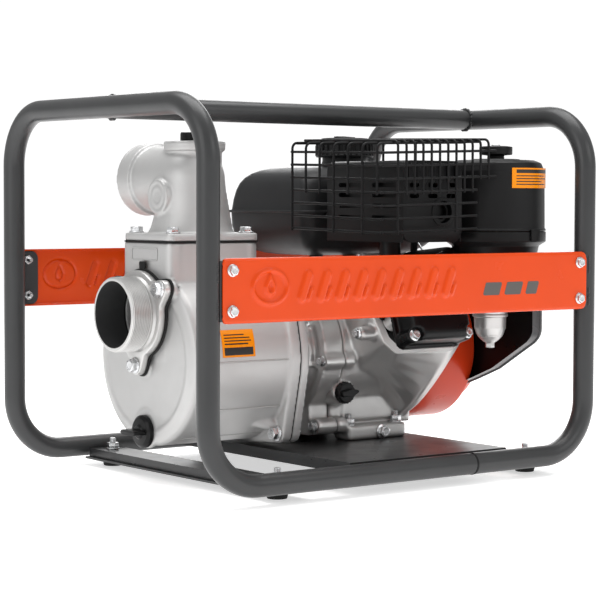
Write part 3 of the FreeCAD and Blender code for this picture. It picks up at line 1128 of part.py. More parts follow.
crankcase()
crankcase_cover()
cover_bolts()
cylinder_head()
valve_cover()
valve_cover_bolts()
crankshaft()
crank_bearings()
flywheel()
piston()
fan_housing()
engine_shroud()
recoil_cover()
recoil_reel()
starter_handle()
muffler()
muffler_shield()
muffler_guard()
carburetor()
air_cleaner()
fuel_tank()
fuel_cap()
oil_cap()
spark_plug()
levers()

doc.recompute()
faults = [obj.Name for obj in doc.Objects if "Invalid" in obj.State or "Error" in obj.State]
faults += [obj.Label for obj in pieces if obj.Shape.isNull() or not obj.Shape.isValid() or not obj.Shape.Solids]
if faults:
    raise SystemExit("failed: " + ", ".join(faults))

os.makedirs("parts", exist_ok=True)
for obj in pieces:
    obj.Shape.exportStep("parts/%s.step" % obj.Label)
    print("%-20s %8.1f cm3  solids %d" % (obj.Label, obj.Shape.Volume / 1000, len(obj.Shape.Solids)))
print(len(pieces), "sub-parts")
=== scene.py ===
import json
import math
import bmesh
import bpy
from mathutils import Matrix, Vector


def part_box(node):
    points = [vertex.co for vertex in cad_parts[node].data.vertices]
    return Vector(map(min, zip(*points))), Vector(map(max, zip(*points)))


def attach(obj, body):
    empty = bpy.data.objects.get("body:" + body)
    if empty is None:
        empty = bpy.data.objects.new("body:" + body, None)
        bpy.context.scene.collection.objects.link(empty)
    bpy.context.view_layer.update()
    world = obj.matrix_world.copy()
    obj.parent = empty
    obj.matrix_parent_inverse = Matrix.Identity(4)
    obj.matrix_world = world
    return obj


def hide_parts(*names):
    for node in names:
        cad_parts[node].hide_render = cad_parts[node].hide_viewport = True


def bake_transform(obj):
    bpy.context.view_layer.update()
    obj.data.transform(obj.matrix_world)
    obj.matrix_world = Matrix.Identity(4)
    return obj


# Looks of the trash pump. Meshes are drawn in millimetres in the CAD frame and scaled to metres when they
# become objects.

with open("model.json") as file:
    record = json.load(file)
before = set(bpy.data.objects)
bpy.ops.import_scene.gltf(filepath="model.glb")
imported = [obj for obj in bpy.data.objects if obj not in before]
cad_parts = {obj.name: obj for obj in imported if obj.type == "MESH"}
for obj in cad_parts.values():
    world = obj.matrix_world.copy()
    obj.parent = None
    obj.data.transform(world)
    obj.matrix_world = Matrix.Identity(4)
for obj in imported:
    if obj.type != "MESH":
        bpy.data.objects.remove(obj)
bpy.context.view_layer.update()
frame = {"nodes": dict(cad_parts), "record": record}
nodes = frame["nodes"]
MM = 0.001
TURN = 2 * math.pi


def span(node):
    """Lowest and highest corner of a CAD node, in millimetres."""
    low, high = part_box(node)
    return low / MM, high / MM


def middle(node):
    low, high = span(node)
    return (low + high) / 2


SHAFT = middle("crank_bearings")
SHAFT.x = 0


# ---------------------------------------------------------------- mesh tools
def moved(x, y, z):
    return Matrix.Translation((x, y, z))


def turned(angle, axis):
    return Matrix.Rotation(angle, 4, axis)


QUARTER_X, QUARTER_Y, QUARTER_Z = [turned(math.pi / 2, axis) for axis in "XYZ"]
ACROSS_X = Matrix(((0, 0, 1, 0), (1, 0, 0, 0), (0, 1, 0, 0),
                   (0, 0, 0, 1)))     # outline (y, z), drawn out along +X


def toward(way, at=(0, 0, 0), roll=0.0):
    """Matrix that turns local +Z to a direction and puts the origin at a point."""
    turn = Vector(way).to_track_quat("Z", "Y").to_matrix().to_4x4()
    return Matrix.Translation(at) @ turn @ turned(roll, "Z")


def eased(points, radius, closed=False, steps=4):
    """Points of a polyline, in 2-D or 3-D, with an arc at each corner."""
    corners = [Vector(point) for point in points]
    count = len(corners)
    result = []
    for i, corner in enumerate(corners):
        if not closed and i in (0, count - 1):
            result.append(corner)
            continue
        before = corners[i - 1] - corner
        after = corners[(i + 1) % count] - corner
        half = before.angle(after, math.pi) / 2
        setback = min(radius / max(math.tan(half), 1e-6), before.length * 0.48, after.length * 0.48)
        if half > 1.55 or setback < 1e-4:
            result.append(corner)
            continue
        start = corner + before.normalized() * setback
        end = corner + after.normalized() * setback
        bend = setback * math.tan(half)
        centre = corner + (before.normalized() + after.normalized()).normalized() * (bend / math.sin(half))
        sweep = math.pi - 2 * half
        for j in range(steps + 1):
            share = j / steps
            mix = (start - centre) * math.sin((1 - share) * sweep) + (end - centre) * math.sin(share * sweep)
            result.append(centre + mix / math.sin(sweep))
    return result


def skin(bm, rings, closed=False, capped=True):
    """Faces between rings of vertices that have equal counts."""
    made = [[bm.verts.new(point) for point in ring] for ring in rings]
    pairs = list(zip(made, made[1:]))
    if closed:
        pairs.append((made[-1], made[0]))
    for low, high in pairs:
        for i in range(len(low)):
            j = (i + 1) % len(low)
            bm.faces.new((low[i], low[j], high[j], high[i]))
    if capped and not closed:
        bm.faces.new(list(reversed(made[0])))
        bm.faces.new(made[-1])
    return made


def lathe(bm, profile, at=(0, 0, 0), way=(0, 0, 1), closed=False, steps=48):
    """Turned shape from (along, radius) points about an axis through a point."""
    place = toward(way, at)
    rings = []
    for along, radius in profile:
        radius = max(radius, 0.02)
        rings.append([place @ Vector((radius * math.cos(TURN * i / steps),
                                      radius * math.sin(TURN * i / steps),
                                      along)) for i in range(steps)])
    skin(bm, rings, closed)


def prism(bm, outline, depth, place=Matrix(), edge=0.0, segments=2):
    """Closed 2-D outline drawn out along local +Z, with its two rims rounded."""
    part = bmesh.new()
    rings = [[Vector((point[0], point[1], z)) for point in outline] for z in (0, depth)]
    made = skin(part, rings)
    if edge:
        rims = [part.edges.get((ring[i - 1], ring[i])) for ring in made for i in range(len(ring))]
        bmesh.ops.bevel(part, geom=rims, offset=edge, segments=segments, profile=0.5, affect="EDGES",
                        clamp_overlap=True)
    join(bm, part, place)


def join(bm, part, place=Matrix()):
    """Move a part's vertices by a matrix and add it to another mesh."""
    bmesh.ops.recalc_face_normals(part, faces=part.faces)
    part.transform(place)
    mesh = bpy.data.meshes.new("joined")
    part.to_mesh(mesh)
    bm.from_mesh(mesh)
    bpy.data.meshes.remove(mesh)
    part.free()


def tube(bm, path, radius, sides=12, closed=False):
    """Round bar along a path."""
    points = [Vector(point) for point in path]
    count = len(points)
    rings = []
    normal = None
    for i, point in enumerate(points):
        if closed:
            heading = points[(i + 1) % count] - points[i - 1]
        else:
            heading = points[min(i + 1, count - 1)] - points[max(i - 1, 0)]
        heading.normalize()
        if normal is None:
            normal = heading.orthogonal().normalized()
        normal = (normal - heading * normal.dot(heading)).normalized()
        side = heading.cross(normal)
        angles = [TURN * j / sides for j in range(sides)]
        rings.append([point + (normal * math.cos(angle) + side * math.sin(angle)) * radius
                      for angle in angles])
    skin(bm, rings, closed)


def circle(radius, centre=(0, 0), steps=40):
    return [(centre[0] + radius * math.cos(TURN * i / steps),
             centre[1] + radius * math.sin(TURN * i / steps))
            for i in range(steps)]


def rectangle(width, height, radius, centre=(0, 0), steps=5):
    x, y = width / 2, height / 2
    points = eased([(-x, -y), (x, -y), (x, y), (-x, y)], radius, closed=True, steps=steps)
    return [(point.x + centre[0], point.y + centre[1]) for point in points]


def hex_head(bm, at, way, across, height, flange=0.0, roll=0.2):
    """Hexagon head that stands on its seat, with chamfered corners, a dished top and maybe a flange."""
    place = toward(way, at, roll)
    base = 0.0
    if flange:
        lathe(bm, eased([(0, 0), (0, flange), (1.2, flange), (2.4, across * 0.5), (2.4, 0)], 0.4), at, way,
              steps=28)
        base = 1.6
    corner = across / math.sqrt(3)
    prism(bm, circle(corner, steps=6), height - base, place @ moved(0, 0, base), across * 0.05)
    lathe(bm, eased([(height - 0.3, 0), (height - 0.3, across * 0.43), (height + 0.35, across * 0.38),
                     (height + 0.1, across * 0.26), (height + 0.1, 0)], 0.3), at, way, steps=24)


def threaded(bm, at, way, radius, length, pitch=1.25):
    """Screw thread drawn as close grooves, with a chamfered tip."""
    profile = [(0, 0), (0, radius)]
    for i in range(int((length - pitch) / pitch)):
        profile += [((i + 0.5) * pitch, radius * 0.88), ((i + 1) * pitch, radius)]
    profile += [(length, radius * 0.8), (length, 0)]
    lathe(bm, profile, at, way, steps=20)


def nut(bm, at, way, across, height, stud=0.0, washer=0.0):
    """Nut with an optional washer below it and stud end through it."""
    way = Vector(way)
    seat = Vector(at)
    if washer:
        lathe(bm, eased([(0, 0), (0, washer), (1.5, washer), (1.5, 0)], 0.4), seat, way, steps=28)
        seat = seat + way * 1.5
    prism(bm, circle(across / math.sqrt(3), steps=6), height, toward(way, seat, 0.35), across * 0.06)
    if stud:
        threaded(bm, seat + way * (height - 0.5), way, stud, 6.5)


# ---------------------------------------------------------------- pieces
def placed(name, data):
    """Object in the scene that shows some data."""
    thing = bpy.data.objects.new(name, data)
    bpy.context.scene.collection.objects.link(thing)
    return thing


def finished(name, bm, slot, *replaced, **choices):
    """Turn a millimetre mesh into a smooth-shaded piece that rides on a body."""
    bmesh.ops.remove_doubles(bm, verts=bm.verts, dist=0.01)
    bmesh.ops.dissolve_degenerate(bm, edges=bm.edges, dist=0.005)
    bmesh.ops.recalc_face_normals(bm, faces=bm.faces)
    mesh = bpy.data.meshes.new(name)
    bm.to_mesh(mesh)
    bm.free()
    return dressed(name, mesh, slot, *replaced, **choices)


def dressed(name, mesh, slot, *replaced, body="machine", finish=None, sharp=38.0):
    """Scale a millimetre mesh to metres and make it a piece."""
    mesh.transform(Matrix.Scale(MM, 4))
    mesh.shade_smooth()
    mesh.set_sharp_from_angle(angle=math.radians(sharp))
    piece = placed(name, mesh)
    piece.data.materials.append(FINISHES[finish or slot])
    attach(piece, body)
    if replaced:
        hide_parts(*replaced)
    return piece


def loose(name, bm):
    """Plain object made from a mesh in progress."""
    mesh = bpy.data.meshes.new(name)
    bm.to_mesh(mesh)
    bm.free()
    return placed(name, mesh)


def subtract(host, tool, mended=False):
    """Add a modifier that cuts one object out of another."""
    cutter = host.modifiers.new("cut", "BOOLEAN")
    cutter.operation = "DIFFERENCE"
    cutter.solver = "EXACT"
    cutter.use_self = mended
    cutter.object = tool


def applied(host, *others):
    """Mesh of an object with its modifiers applied. The objects it came from are deleted."""
    graph = bpy.context.evaluated_depsgraph_get()
    result = bpy.data.meshes.new_from_object(host.evaluated_get(graph))
    result.materials.clear()
    for thing in (host, *others):
        mesh = thing.data
        bpy.data.objects.remove(thing)
        bpy.data.meshes.remove(mesh)
    return result


def cast(name, node, voxel, slot, extra=None, finish=None, copied=True, ease=4, share=0.6, cavity=None):
    """Stand-in for a CAD node, remeshed and smoothed so that every corner is filleted.

    It starts from the node's own mesh unless `copied` is false, and `extra` adds to it.
    """
    bm = bmesh.new()
    if copied:
        bm.from_mesh(nodes[node].data)
        bmesh.ops.scale(bm, vec=(1 / MM,) * 3, verts=bm.verts)
        bmesh.ops.remove_doubles(bm, verts=bm.verts, dist=0.005)
    if extra:
        extra(bm)
    rough = loose(name + "_rough", bm)
    remesh = rough.modifiers.new("remesh", "REMESH")
    remesh.mode = "VOXEL"
    remesh.voxel_size = voxel
    smooth = rough.modifiers.new("smooth", "SMOOTH")
    smooth.factor = 0.5
    smooth.iterations = ease
    thin = rough.modifiers.new("thin", "DECIMATE")
    thin.ratio = share
    tools = [loose(name + "_cavity", cavity)] if cavity else []
    for tool in tools:
        subtract(rough, tool)
    return dressed(name, applied(rough, *tools), slot, node, finish=finish, sharp=60.0)


# ---------------------------------------------------------------- finishes
class Finish:
    """Node material. Its textures read object coordinates, which are metres in the CAD frame."""

    def __init__(self, name, colour, roughness, metallic=0.0, **sockets):
        self.material = bpy.data.materials.new(name)
        self.material.use_nodes = True
        self.tree = self.material.node_tree
        self.shader = self.tree.nodes["Principled BSDF"]
        self.colour = Vector(colour)
        self.shader.inputs["Base Color"].default_value = (*colour, 1)
        self.shader.inputs["Roughness"].default_value = roughness
        self.shader.inputs["Metallic"].default_value = metallic
        for socket, value in sockets.items():
            self.shader.inputs[socket.replace("_", " ")].default_value = value
        self.place = self.add("ShaderNodeTexCoord").outputs["Object"]
        self.normal = None

    def add(self, kind, inputs=None, **settings):
        node = self.tree.nodes.new(kind)
        for key, value in settings.items():
            setattr(node, key, value)
        for key, value in (inputs or {}).items():
            if isinstance(value, bpy.types.NodeSocket):
                self.tree.links.new(value, node.inputs[key])
            else:
                node.inputs[key].default_value = value
        return node

    def grain(self, size, detail=2.0):
        """Noise whose features are about `size` millimetres."""
        inputs = {"Vector": self.place, "Scale": 1000 / size, "Detail": detail}
        return self.add("ShaderNodeTexNoise", inputs).outputs["Fac"]

    def level(self, value, low, high, start=0.2, end=0.8):
        return self.add("ShaderNodeMapRange", {"Value": value, "From Min": start, "From Max": end,
                                               "To Min": low, "To Max": high}).outputs["Result"]

    def corner_shade(self, reach):
        """Painted shade: 1 in the open and towards 0 in corners closer than `reach` millimetres."""
        return self.add("ShaderNodeAmbientOcclusion", {"Distance": reach * MM}, samples=4).outputs["AO"]

    def tint(self, value, dark, light=1.0):
        """Base colour that runs from a darker to a lighter multiple of the finish's own colour."""
        mix = self.add("ShaderNodeMix", {"Factor": value}, data_type="RGBA")
        colours = [socket for socket in mix.inputs if socket.type == "RGBA"]
        colours[0].default_value = (*(self.colour * dark), 1)
        colours[1].default_value = (*(self.colour * light), 1)
        result = next(socket for socket in mix.outputs if socket.type == "RGBA")
        self.tree.links.new(result, self.shader.inputs["Base Color"])

    def rough(self, value, low, high):
        self.tree.links.new(self.level(value, low, high), self.shader.inputs["Roughness"])

    def bump(self, height, depth, strength=1.0):
        """Add relief of about `depth` millimetres."""
        inputs = {"Height": height, "Distance": depth * MM, "Strength": strength}
        if self.normal:
            inputs["Normal"] = self.normal
        self.normal = self.add("ShaderNodeBump", inputs).outputs["Normal"]
        self.tree.links.new(self.normal, self.shader.inputs["Normal"])


def powder_coat(name, colour, roughness, peel=0.035):
    """Sprayed powder paint: fine orange peel and a little dust."""
    finish = Finish(name, colour, roughness)
    finish.bump(finish.grain(1.1, 1.0), peel)
    finish.rough(finish.grain(28, 3.0), roughness - 0.05, roughness + 0.07)
    finish.tint(finish.level(finish.grain(60, 4.0), 0, 1), 0.88, 1.12)
    return finish.material


def gloss_paint(name, colour, roughness=0.28):
    """Sheet-metal paint under a clear coat."""
    finish = Finish(name, colour, roughness, Coat_Weight=0.12, Coat_Roughness=0.12)
    finish.shader.inputs["Specular IOR Level"].default_value = 0.3
    finish.bump(finish.grain(2.2, 1.0), 0.018)
    finish.rough(finish.grain(35, 3.0), roughness - 0.05, roughness + 0.05)
    finish.tint(finish.level(finish.grain(80, 3.0), 0, 1), 0.94, 1.04)
    return finish.material


def casting(name, colour, roughness, pits=0.09, metallic=0.8):
    """Blasted die casting: fine pitted grain, soft blotches, and painted shade that darkens the corners."""
    finish = Finish(name, colour, roughness, metallic)
    finish.bump(finish.grain(26, 3.0), 0.05)
    finish.bump(finish.grain(1.3, 3.0), pits)
    finish.rough(finish.grain(17, 4.0), roughness - 0.06, roughness + 0.09)
    blotch = finish.level(finish.grain(45, 4.0), 0.9, 1.0)
    # Base colour is darkened by ambient occlusion in corners, which is painted shade, multiplied with the
    # random blotches.
    shade = finish.add("ShaderNodeMath", {0: blotch, 1: finish.corner_shade(9)}, operation="MULTIPLY")
    finish.tint(shade.outputs[0], 0.5, 1.04)
    return finish.material


def bright_metal(name, colour, roughness):
    """Plated or machined steel with faint turning marks."""
    finish = Finish(name, colour, roughness, 1.0)
    finish.bump(finish.grain(0.6, 2.0), 0.012)
    finish.rough(finish.grain(6, 3.0), roughness - 0.06, roughness + 0.1)
    finish.tint(finish.level(finish.grain(9, 3.0), 0, 1), 0.82, 1.06)
    return finish.material


def moulded(name, colour, roughness, texture=0.03):
    """Moulded plastic or rubber with a fine spark-eroded texture."""
    finish = Finish(name, colour, roughness)
    finish.bump(finish.grain(0.7, 2.0), texture)
    finish.rough(finish.grain(22, 3.0), roughness - 0.05, roughness + 0.06)
    finish.tint(finish.level(finish.grain(40, 3.0), 0, 1), 0.85, 1.15)
    return finish.material


def iron(name, colour):
    finish = Finish(name, colour, 0.6, 0.6)
    finish.bump(finish.grain(2.4, 4.0), 0.2)
    finish.rough(finish.grain(12, 4.0), 0.5, 0.75)
    finish.tint(finish.level(finish.grain(20, 4.0), 0, 1), 0.7, 1.1)
    return finish.material


def foam(name, colour):
    finish = Finish(name, colour, 0.9)
    cells = finish.add("ShaderNodeTexVoronoi", {"Vector": finish.place, "Scale": 500.0}).outputs["Distance"]
    finish.bump(cells, 0.6)
    finish.tint(cells, 0.5, 1.1)
    return finish.material


FINISH_TABLE = {
    "frame_paint": (powder_coat, (0.036, 0.037, 0.038), 0.33),
    "plate_paint": (powder_coat, (0.019, 0.0195, 0.0205), 0.30, 0.006),
    "orange_panel": (gloss_paint, (0.79, 0.066, 0.001), 0.24),
    "orange_housing": (gloss_paint, (0.76, 0.052, 0.010), 0.3),
    "zinc_steel": (bright_metal, (0.74, 0.75, 0.76), 0.26),
    "cast_aluminium": (casting, (0.57, 0.568, 0.563), 0.48, 0.06, 0.6),
    "engine_aluminium": (casting, (0.60, 0.597, 0.590), 0.36, 0.05, 0.74),
    "black_rubber": (moulded, (0.013, 0.013, 0.013), 0.62, 0.06),
    "black_plastic": (moulded, (0.008, 0.008, 0.0085), 0.38),
    "black_paint": (powder_coat, (0.004, 0.004, 0.0044), 0.36, 0.02),
    "tank_paint": (powder_coat, (0.019, 0.0195, 0.0205), 0.44, 0.008),
    "cast_iron": (iron, (0.16, 0.155, 0.15)),
    "machined_steel": (bright_metal, (0.58, 0.58, 0.57), 0.3),
    "filter_foam": (foam, (0.42, 0.36, 0.22)),
    "port_aluminium": (casting, (0.66, 0.655, 0.645), 0.36, 0.02, 0.8),
    # Near-white aluminium for the skirt's rim: a painted highlight.
    "rim_painted_highlight": (casting, (0.92, 0.915, 0.905), 0.40, 0.01, 0.25),
    # Near-black casting for the inside of the suction bore: painted shade.
    "bore_painted_shade": (casting, (0.045, 0.045, 0.046), 0.6, 0.05, 0.3),
    "wire_black": (powder_coat, (0.005, 0.005, 0.0055), 0.5, 0.01),
    "black_gloss": (powder_coat, (0.004, 0.004, 0.0044), 0.29, 0.008),
    # Grey copy of the black paint for the shroud's rim: a painted highlight.
    "shroud_edge_painted_highlight": (powder_coat, (0.085, 0.087, 0.090), 0.28, 0.012),
    "print_grey": (powder_coat, (0.105, 0.095, 0.088), 0.4, 0.01),
    "label_amber": (gloss_paint, (0.98, 0.30, 0.001)),
    "label_ink": (powder_coat, (0.02, 0.018, 0.016), 0.35, 0.01),
    "rope": (moulded, (0.03, 0.03, 0.03), 0.7, 0.1),
    "switch_red": (moulded, (0.42, 0.02, 0.015), 0.35),
}
FINISHES = {name: maker(name, *values) for name, (maker, *values) in FINISH_TABLE.items()}


def paint_cad_nodes():
    """Give every CAD node that still shows its slot's finish."""
    for entry in frame["record"]["subparts"]:
        mesh = nodes[entry["node"]].data
        mesh.materials.clear()
        mesh.materials.append(FINISHES[entry["material_slot"]])


# ---------------------------------------------------------------- places read from the CAD boxes
PORT_LOW, PORT_HIGH = span("suction_port")
PORT_Z = 198.0                      # height of the suction axis
FLANGE_BACK = PORT_HIGH.x           # back face of the suction flange
LOBE_TURNS = [math.radians(turn) for turn in (-90, 30, 150)]
LOBE_REACH = 60.5                   # suction axis to a flange screw
EAR_BACK = span("casing_gasket")[0].x
EAR_FRONT = EAR_BACK - 13.5
EARS = [(SHAFT.y + y, SHAFT.z + z) for y in (-78, 78) for z in (-90, 90)]
CASING_FRONT = EAR_BACK - 148.0
BARREL = 103.5                      # radius of the pump casing's barrel
OUTLET = middle("discharge_gasket")
ELBOW_Z = 356.0                     # height of the outlet axis
FILLER_X = middle("priming_plug").x
POST = Vector((span("frame_hoop_engine")[1].x - 12.7, span("frame_hoop_engine")[1].y - 12.7, 0))
CLEANER = middle("air_cleaner_cover")
OUTLET_PIPE = Vector((100, 0, 318))  # exhaust outlet in the heat shield
CAP = middle("fuel_cap")
ROPE_X, ROPE_Z = 249, 172            # line of the starter rope, which runs along Y
TILT = math.radians(18)             # the cylinder leans up from level
COVER_SCREWS = ((-45, 137), (-30, 56), (116, 56), (110, 150), (72, 212), (-22, 205))      # (y, z)
CYLINDER = (moved(87.5, SHAFT.y, SHAFT.z)
            @ Matrix(((1, 0, 0, 0), (0, math.sin(TILT), -math.cos(TILT), 0),
                      (0, math.cos(TILT), math.sin(TILT), 0), (0, 0, 0, 1))))


def hull_of_discs(discs, steps=72):
    """Outline of the tightest plate round some discs, each given by its centre and radius."""
    points = []
    for (x, y), radius in discs:
        points += [(x + radius * math.cos(TURN * i / steps), y + radius * math.sin(TURN * i / steps))
                   for i in range(steps)]
    points = sorted(set(points))
    outline = []
    for run in (points, points[::-1]):
        side = []
        for point in run:
            while len(side) > 1 and ((side[-1][0] - side[-2][0]) * (point[1] - side[-2][1])
                                     <= (side[-1][1] - side[-2][1]) * (point[0] - side[-2][0])):
                side.pop()
            side.append(point)
        outline += side[:-1]
    return outline


def carved(name, bm, tools, slot, *replaced, **choices):
    """Piece with the shapes in a second mesh cut out of it."""
    for part in (bm, tools):
        bmesh.ops.recalc_face_normals(part, faces=part.faces)
    host = loose(name + "_host", bm)
    tool = loose(name + "_tool", tools)
    subtract(host, tool, mended=True)
    return dressed(name, applied(host, tool), slot, *replaced, **choices)


# ---------------------------------------------------------------- carry frame
def weld_ripples(bm, at, way, radius, size=2.0, count=34):
    """Ring of small overlapping weld ripples about an axis."""
    place = toward(way, at)
    for i in range(count):
        angle = TURN * i / count
        drop = bmesh.new()
        bmesh.ops.create_uvsphere(drop, u_segments=8, v_segments=6,
                                  radius=size * (1 + 0.2 * math.sin(i * 2.4)))
        join(bm, drop, place @ moved(radius * math.cos(angle), radius * math.sin(angle), 0))


def weld_line(bm, start, end, size=1.7, step=2.2):
    """Straight bead of weld ripples."""
    start, end = Vector(start), Vector(end)
    count = max(2, int((end - start).length / step))
    for i in range(count + 1):
        drop = bmesh.new()
        bmesh.ops.create_uvsphere(drop, u_segments=8, v_segments=6,
                                  radius=size * (1 + 0.15 * math.sin(i * 1.9)))
        join(bm, drop, Matrix.Translation(start.lerp(end, i / count)))


def frame_welds():
    """Beads where the carry bar and the tabs meet the tubes, and the cross channels meet the rails."""
    bar = middle("carry_bar")
    tab_low, tab_high = span("panel_tabs")
    channel_top = span("cross_channels")[1].z
    bm = bmesh.new()
    for side in (-1, 1):
        weld_ripples(bm, (side * (POST.x - 11.2), 0, bar.z), (1, 0, 0), 13.4)
        for end in (-1, 1):
            x = end * (POST.x - 4)
            y = side * (POST.y + 11.4)
            for low in (tab_low.z + 3, tab_high.z - 23):
                weld_line(bm, (x, y, low), (x, y, low + 20))
    for x in (-162, 217):
        for side in (-1, 1):
            for edge in (-1, 1):
                y = side * (POST.y - 10.2)
                weld_line(bm, (x + edge * 16, y, channel_top - 0.5), (x + edge * 4, y, channel_top - 0.5),
                          1.9)
    finished("frame_weld_beads", bm, "frame_paint")


def rail_joints():
    """Dark ring in the joint of each bottom rail."""
    sleeve = middle("rail_sleeves")
    bm = bmesh.new()
    for side in (-1, 1):
        ring = eased([(-1.4, 10.9), (-1.4, 13.3), (1.4, 13.3), (1.4, 10.9)], 0.5)
        lathe(bm, ring, (sleeve.x, side * POST.y, sleeve.z), (1, 0, 0), closed=True, steps=40)
    finished("rail_joint_rings", bm, "black_rubber")


def pressed_strokes():
    """Centre lines and half widths of the pressed ornament: a drop in a ring, then leaning ribs."""
    strokes = []
    ring = [Vector((-209 + 23 * math.cos(TURN * i / 28),
                    238.5 + 18 * math.sin(TURN * i / 28))) for i in range(29)]
    strokes += [(a, b, 1.8) for a, b in zip(ring, ring[1:])]
    drop = [Vector(point) for point in ((-209, 250), (-214, 239), (-213, 233), (-209, 230.5), (-205, 233),
                                        (-204, 239),
                                        (-209, 250))]
    strokes += [(a, b, 2.0) for a, b in zip(drop, drop[1:])]
    for i in range(9):
        foot = Vector((-166 + 26.0 * i, 226))
        strokes.append((foot, foot + Vector((9, 24)), 5.2))
        strokes.append((foot + Vector((9, -1)), foot + Vector((13, 9)), 2.2))
    return strokes


def stroke_gap(point, start, end):
    """Distance from a point to a segment."""
    run = end - start
    share = max(0.0, min(1.0, (point - start).dot(run) / run.length_squared))
    return (point - start - run * share).length


def pressed_panel(node, side):
    """Folded sheet with rounded corners, turned-in edges and the pressed ornament."""
    low, high = span(node)
    half_x, corner, fold, lip = high.x, 6.0, 3.0, high.y - low.y - 1.0
    face = low.y if side < 0 else high.y
    centre, half_z = (low.z + high.z) / 2, (high.z - low.z) / 2
    strokes = pressed_strokes()
    count = 400
    bm = bmesh.new()
    made = []
    for i in range(count + 1):
        x = -half_x * math.cos(math.pi * i / count) if i in (0, count) else -half_x + 2 * half_x * i / count
        outer = max(0.0, abs(x) - (half_x - corner))
        reach = half_z - corner + math.sqrt(max(corner ** 2 - outer ** 2, 0.0))
        folded = max(0.0, min(1.0, (half_x - 4 - abs(x)) / 5))
        near = [s for s in strokes if min(s[0].x, s[1].x) - 8 < x < max(s[0].x, s[1].x) + 8]
        column = [Vector((x, face - side * (fold + (lip - fold) * folded), centre - reach))]
        for k in range(5):
            angle = math.pi / 2 * k / 4
            column.append(Vector((x, face - side * fold * (1 - math.sin(angle)),
                                  centre - reach + fold * (1 - math.cos(angle)))))
        for j in range(1, 46):
            z = centre + (reach - fold) * (j / 23 - 1)
            gap = min([stroke_gap(Vector((x, z)), a, b) - width for a, b, width in near], default=9.0)
            rise = 1.3 * (1 - math.sin(max(-1.0, min(1.0, gap / 1.2)) * math.pi / 2))
            column.append(Vector((x, face + side * rise, z)))
        for k in range(5):
            angle = math.pi / 2 * k / 4
            column.append(Vector((x, face - side * fold * (1 - math.cos(angle)),
                                  centre + reach - fold * (1 - math.sin(angle)))))
        column.append(Vector((x, face - side * (fold + (lip - fold) * folded), centre + reach)))
        made.append([bm.verts.new(point) for point in column])
    for left, right in zip(made, made[1:]):
        for j in range(len(left) - 1):
            bm.faces.new((left[j], left[j + 1], right[j + 1], right[j]))
    bm.normal_update()
    if sum(polygon.normal.y for polygon in bm.faces) * side < 0:
        bmesh.ops.reverse_faces(bm, faces=bm.faces)
    bmesh.ops.solidify(bm, geom=list(bm.faces), thickness=1.6)
    finished(node + "_pressed", bm, "orange_panel", node, sharp=50)


def panel_print():
    """Three leaning bars printed on the near panel."""
    face = span("side_panel_near")[0].y
    bm = bmesh.new()
    for left, width in ((100.0, 26.0), (134.0, 26.0), (168.0, 18.0)):
        outline = eased([(left, 221), (left + width, 221), (left + width + 5, 236), (left + 5, 236)], 2.0,
                        closed=True)
        prism(bm, outline, 0.25, moved(0, face + 0.05, 0) @ QUARTER_X)
    finished("panel_printed_bars", bm, "orange_panel", finish="print_grey")


def panel_screws():
    """Flanged screws on the panels, and nuts behind the tabs."""
    low = span("side_panel_near")[0]
    bm = bmesh.new()
    for side in (-1, 1):
        for x in (-258.5, 258.5):
            for z in (213.5, 257.0):
                hex_head(bm, (x, side * -low.y, z), (0, side, 0), 10, 5.0, 6.8,
                         roll=0.3 + 0.4 * (x > 0) + 0.2 * side)
                nut(bm, (x, side * (-low.y - 5.3), z), (0, -side, 0), 10, 5.0, stud=2.9)
    finished("panel_screws", bm, "zinc_steel", "panel_fasteners")


def feet():
    """Moulded rubber feet with a groove round each."""
    low, high = span("rubber_feet")
    profile = eased([(0, 4.5), (0, 11.3), (4.5, 12.3), (6, 11.2), (7.5, 12.4), (17.9, 12.4), (17.9, 4.5),
                     (6, 4.5)], 0.7)
    bm = bmesh.new()
    for x in (low.x + 12.5, high.x - 12.5):
        for y in (low.y + 12.5, high.y - 12.5):
            lathe(bm, profile, (x, y, 0), closed=True, steps=36)
    finished("moulded_feet", bm, "black_rubber", "rubber_feet")


def mounting_hardware():
    """Nuts of the feet on the cross channels, and studs and nuts of the engine's feet."""
    low, high = span("rubber_feet")
    channel_top = span("cross_channels")[1].z
    plate_top = span("base_plate")[1].z
    bm = bmesh.new()
    for x in (low.x + 12.5, high.x - 12.5):
        for y in (low.y + 12.5, high.y - 12.5):
            nut(bm, (x, y, channel_top), (0, 0, 1), 13, 6.5, stud=3.9, washer=8.2)
            threaded(bm, (x, y, 7), (0, 0, 1), 3.9, channel_top - 6)
    for x in (54.5, 130.0):
        for y in (-28.0, 134.0):
            nut(bm, (x, y, plate_top + 18), (0, 0, 1), 13, 7.0, stud=3.9, washer=8.4)
            threaded(bm, (x, y, plate_top - 6), (0, 0, 1), 3.9, 26)
            prism(bm, circle(7.5, steps=6), 5, moved(x, y, plate_top - 8), 0.6)
    finished("mounting_hardware", bm, "zinc_steel", "mount_bolts")


